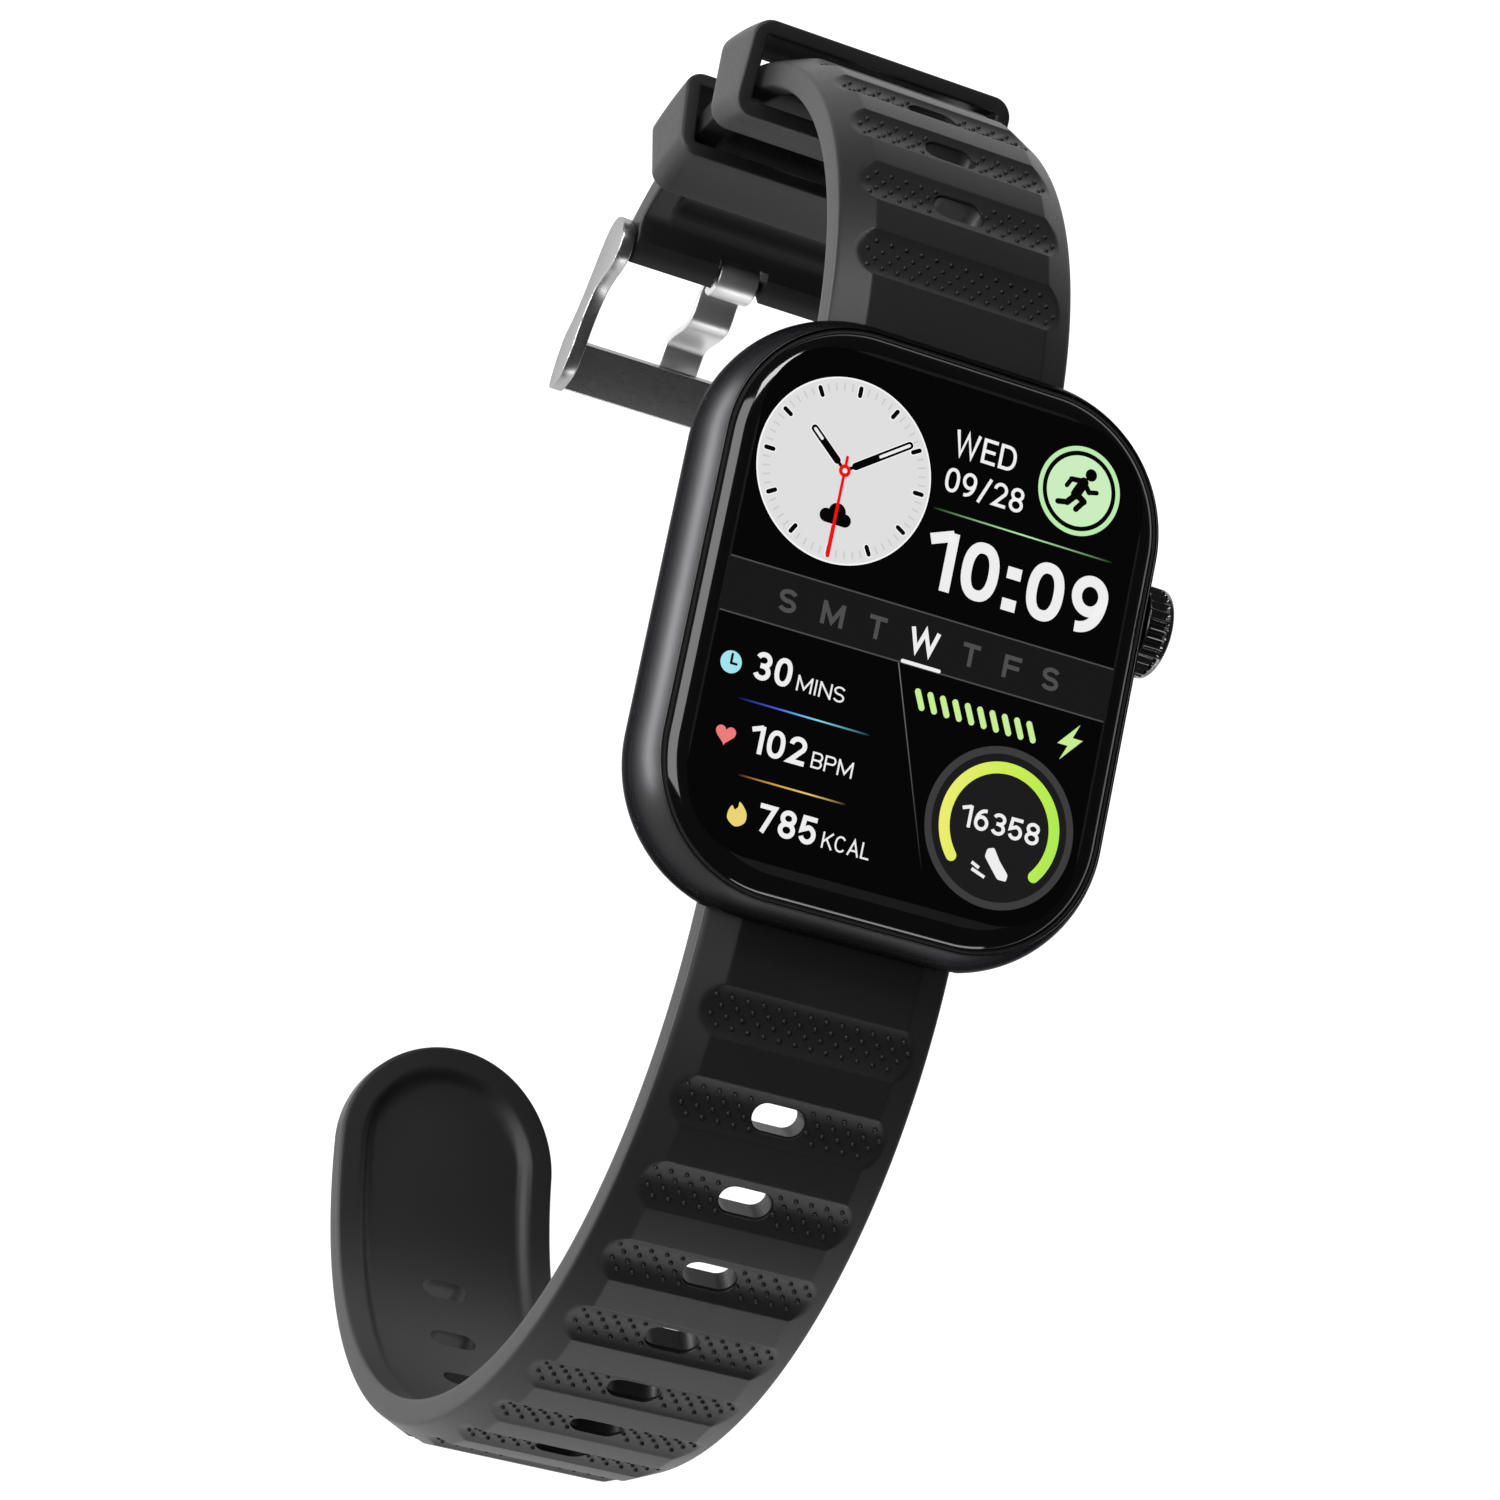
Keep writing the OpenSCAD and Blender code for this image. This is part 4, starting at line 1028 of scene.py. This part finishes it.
hand("hour_hand", -50.5, 4.0, 1.0, 3.05)
hand("minute_hand", 54.5, 6.0, 1.0, 3.3)
flat("second_hand", [bar(DX, DY + 1.1, DX, DY - 4.5, 0.25),
                     bar(DX, DY - 4.5, DX, DY - 6.8, 0.34)], 8, RED)
flat("second_hub", [disc(DX, DY, 0.5, 40)], 9, RED)
flat("second_hub_eye", [disc(DX, DY, 0.2, 28)], 10, WHITE)

# date, time and weekdays
words("text_weekday", "WED", -0.38, 5.0, 15.02, 17.02, WHITE, 0.135)
words("text_date", "09/28", -0.58, 6.29, 12.0, 13.95, WHITE, 0.135)
words("text_time", "10:09", -0.79, 15.04, 4.22, 8.93, WHITE, 0.185)
fade_green = [(0.0, (0.0, 0.02, 0.0)), (0.5, (0.45, 0.85, 0.40)), (1.0, (0.0, 0.02, 0.0))]
flat("line_green", [bar(-1.04, 10.43, 14.7, 10.43, 0.13)], 1,
     lit_along("screen_line_green", "X", -1.04, 14.7, fade_green))
SCREEN_X, BAND_TOP, BAND_LOW = 16.62, 2.18, -2.11
flat("week_band", [strip(-SCREEN_X, SCREEN_X, BAND_LOW, BAND_TOP)], 1, BAND)
flat("week_band_edges", [strip(-SCREEN_X, SCREEN_X, y - 0.06, y + 0.06)
                         for y in (BAND_TOP, BAND_LOW)], 2, BAND_EDGE)
for i, (letter, x) in enumerate(zip("SMTWTFS", (-11.335, -7.5, -3.71, 0.373, 4.415, 8.04, 11.457))):
    w = {"M": 1.9, "W": 2.5}.get(letter, 1.5) / 2
    words("weekday_%d" % i, letter, x - w, x + w, -0.94, 0.89,
          WHITE if letter == "W" else GREY, 0.19)
flat("week_underline", [bar(-1.1, -1.96, 2.06, -1.96, 0.29)], 3, WHITE)

# runner badge
BX, BY = 10.79, 15.225
flat("badge_ring", [ring(BX, BY, 3.2, 3.58)], 1, GREEN)
flat("badge_disc", [disc(BX, BY, 2.83, 96)], 1, PALE_GREEN)
limbs = [bar(0.15, 0.75, -0.35, -0.35, 0.86), bar(-0.3, -0.3, 0.45, -0.75, 0.56),
         bar(0.45, -0.75, -0.1, -1.5, 0.48), bar(-0.35, -0.45, -0.95, -1.15, 0.54),
         bar(-0.95, -1.15, -1.75, -1.3, 0.46), bar(0.1, 0.85, -0.95, 0.75, 0.44),
         bar(-0.95, 0.75, -1.25, 0.15, 0.38), bar(0.25, 0.7, 0.75, 0.1, 0.44),
         bar(0.75, 0.1, 1.4, 0.25, 0.38), disc(0.66, 1.5, 0.5, 32)]
for i, (v, f) in enumerate(limbs):
    flat("runner_%d" % i, [(v + np.array([BX + 0.1, BY, 0]), f)], 2 + 0.1 * i, INK)

# left column
IX, IY = -14.835, -5.9
flat("icon_clock", [disc(IX, IY + 0.083, 0.875, 48)], 1, CYAN)
flat("icon_clock_hands", [bar(IX, IY + 0.7, IX, IY, 0.2), bar(IX, IY, IX + 0.455, IY, 0.2)], 2, INK)
t = np.linspace(0, 2 * pi, 48, endpoint=False)
heart = np.c_[16 * np.sin(t) ** 3,
              13 * np.cos(t) - 5 * np.cos(2 * t) - 2 * np.cos(3 * t) - np.cos(4 * t)]
flat("icon_heart", [prism(heart[::-1] * 0.052 + [-14.085, -11.3], 0, 1)], 1, PINK)
flame = spline_loop([[0, -0.95], [-0.7, -0.55], [-0.78, 0.05], [-0.55, 0.55], [-0.3, 0.3],
                     [-0.05, 0.55], [0.0, 0.95], [0.45, 0.6], [0.75, 0.1], [0.68, -0.55]])
flat("icon_flame", [prism(flame[::-1] + [-11.835, -16.98], 0, 1)], 1, AMBER)
for what, value, unit, box, unit_box in (
        ("minutes", "30", "MINS", (-12.96, -9.79, -6.57, -4.36), (-9.25, -5.21, -6.53, -5.30)),
        ("pulse", "102", "BPM", (-12.04, -7.38, -12.11, -9.94), (-6.83, -3.33, -11.99, -10.73)),
        ("energy", "785", "KCAL", (-10.13, -5.25, -17.83, -15.65), (-4.67, -0.63, -17.75, -16.48))):
    words("text_" + what, value, *box, WHITE, 0.175)
    words("unit_" + what, unit, *unit_box, WHITE, 0.115)
lines = (("line_blue", -13.7, -2.6, -8.32, [(0.0, (0.0, 0.0, 0.02)), (0.3, (0.06, 0.10, 0.75)),
                                            (0.6, (0.20, 0.72, 0.85)), (1.0, (0.0, 0.01, 0.02))]),
         ("line_warm", -12.4, -3.4, -14.03, [(0.0, (0.02, 0.0, 0.0)), (0.35, (0.70, 0.36, 0.06)),
                                             (0.65, (0.80, 0.62, 0.14)), (1.0, (0.02, 0.01, 0.0))]))
for name, x0, x1, y, stops in lines:
    flat(name, [bar(x0, y, x1, y, 0.13)], 1, lit_along("screen_" + name, "X", x0, x1, stops))
flat("divider", [bar(-1.38, -2.2, 3.96, -17.57, 0.09, False)], 1,
     lit_along("screen_divider", "Y", -17.57, -2.2, [(0.0, grey(0.0)), (1.0, grey(0.16))]))

# right column
flat("battery_dashes", [bar(x - 0.28, -3.95, x + 0.28, -5.10, 0.50)
                        for x in 0.957 + 1.083 * np.arange(10)], 1, LIME)
bolt = [[14.75, -2.86], [13.08, -4.75], [14.0, -4.75], [13.5, -5.98], [15.2, -4.05], [14.3, -4.05]]
flat("battery_bolt", [prism(bolt, 0, 1)], 1, LIME)
GX, GY = 9.623, -12.525
flat("gauge_ring", [ring(GX, GY, 5.79, 6.375, 120)], 1, GAUGE_RING)
flat("gauge_face", [disc(GX, GY, 5.79, 120)], 1, GAUGE)
arc_stops = [(0.0, (0.86, 0.85, 0.16)), (0.45, (0.62, 0.85, 0.09)), (1.0, (0.42, 0.83, 0.08))]
flat("gauge_arc", [arc_band(GX, GY, 4.25, 5.17, -39.7, 220.7)], 2,
     lit_along("screen_gauge_arc", "X", GX - 5.2, GX + 5.2, arc_stops))
words("text_steps", "16358", 6.25, 13.08, -13.15, -11.4, WHITE, 0.16)
shoe = np.array([[-0.85, 0.3], [-0.3, -0.3], [0.55, -1.2], [1.3, -1.2], [1.35, -0.65],
                 [0.45, 0.25], [-0.2, 1.15], [-0.75, 0.95]]) + [GX + 0.1, GY - 2.75]
flat("icon_shoe", [prism(rounded_polygon(shoe, 0.15, 5), 0, 1)], 2, WHITE)
flat("icon_shoe_marks", [bar(GX - 1.75, GY - 3.15, GX - 1.05, GY - 3.45, 0.26, False),
                         bar(GX - 1.65, GY - 3.65, GX - 0.45, GY - 4.05, 0.26, False)], 2, WHITE)

# ---------------------------------------------------------------- floor, light and camera
floor_z = cad_box[0][2] / MM - 0.6
reach = 4000.0
floor = new_object("floor", [[x * reach, y * reach, floor_z]
                             for x, y in ((-1, -1), (1, -1), (1, 1), (-1, 1))], [[0, 1, 2, 3]])
floor_mat, _, floor_sh = material("floor_pale", (0.3, 0.3, 0.3), 0.95, Specular_IOR_Level=0.0,
                                  Emission_Strength=0.95)
floor_sh.inputs["Emission Color"].default_value = (1, 1, 1, 1)
floor.data.materials.append(floor_mat)


def softbox(name, place, target, size, power):
    """Rectangular area light aimed at a target, all in millimetres."""
    li = bpy.data.lights.new(name, "AREA")
    li.shape, li.size, li.size_y = "RECTANGLE", size[0] * MM, size[1] * MM
    li.energy = power
    ob = bpy.data.objects.new(name, li)
    p, q = Vector(place) * MM, Vector(target) * MM
    ob.location = p
    ob.rotation_euler = (q - p).to_track_quat("-Z", "Y").to_euler()
    bpy.context.scene.collection.objects.link(ob)


softbox("side_light", (-520, 70, 400), (0, 0, 0), (640, 470), 4.2)
softbox("low_left_light", (-168, 24, -60), (-20, 4, 4), (210, 28), 0.38)
softbox("low_front_light", (50, -190, -50), (0, -24, 4), (120, 24), 0.02)
softbox("key_light", (-260, 620, 700), (0, 0, -20), (380, 260), 4.6)
softbox("front_card", (210, -600, 70), (0, 0, 5), (480, 105), 0.75)

world = bpy.data.worlds.new("studio")
bpy.context.scene.world = world
world.use_nodes = True
world.node_tree.nodes["Background"].inputs["Color"].default_value = (1, 1, 1, 1)
world.node_tree.nodes["Background"].inputs["Strength"].default_value = 0.05

cam = bpy.data.cameras.new("camera")
cam.lens, cam.sensor_width, cam.clip_start, cam.clip_end = 105.7, 36.0, 0.01, 50.0
cam_ob = bpy.data.objects.new("camera", cam)
right, down, forward = ((0.90098, 0.19987, 0.38508), (0.25567, -0.96168, -0.09905),
                        (0.35052, 0.18769, -0.91755))
rot = Matrix((right, [-v for v in down], [-v for v in forward])).transposed()
cam_ob.matrix_world = Matrix.Translation(Vector((-128.61, -74.47, 317.16)) * MM) @ rot.to_4x4()
bpy.context.scene.collection.objects.link(cam_ob)
bpy.context.scene.camera = cam_ob
bpy.context.scene.view_settings.view_transform = "Standard"
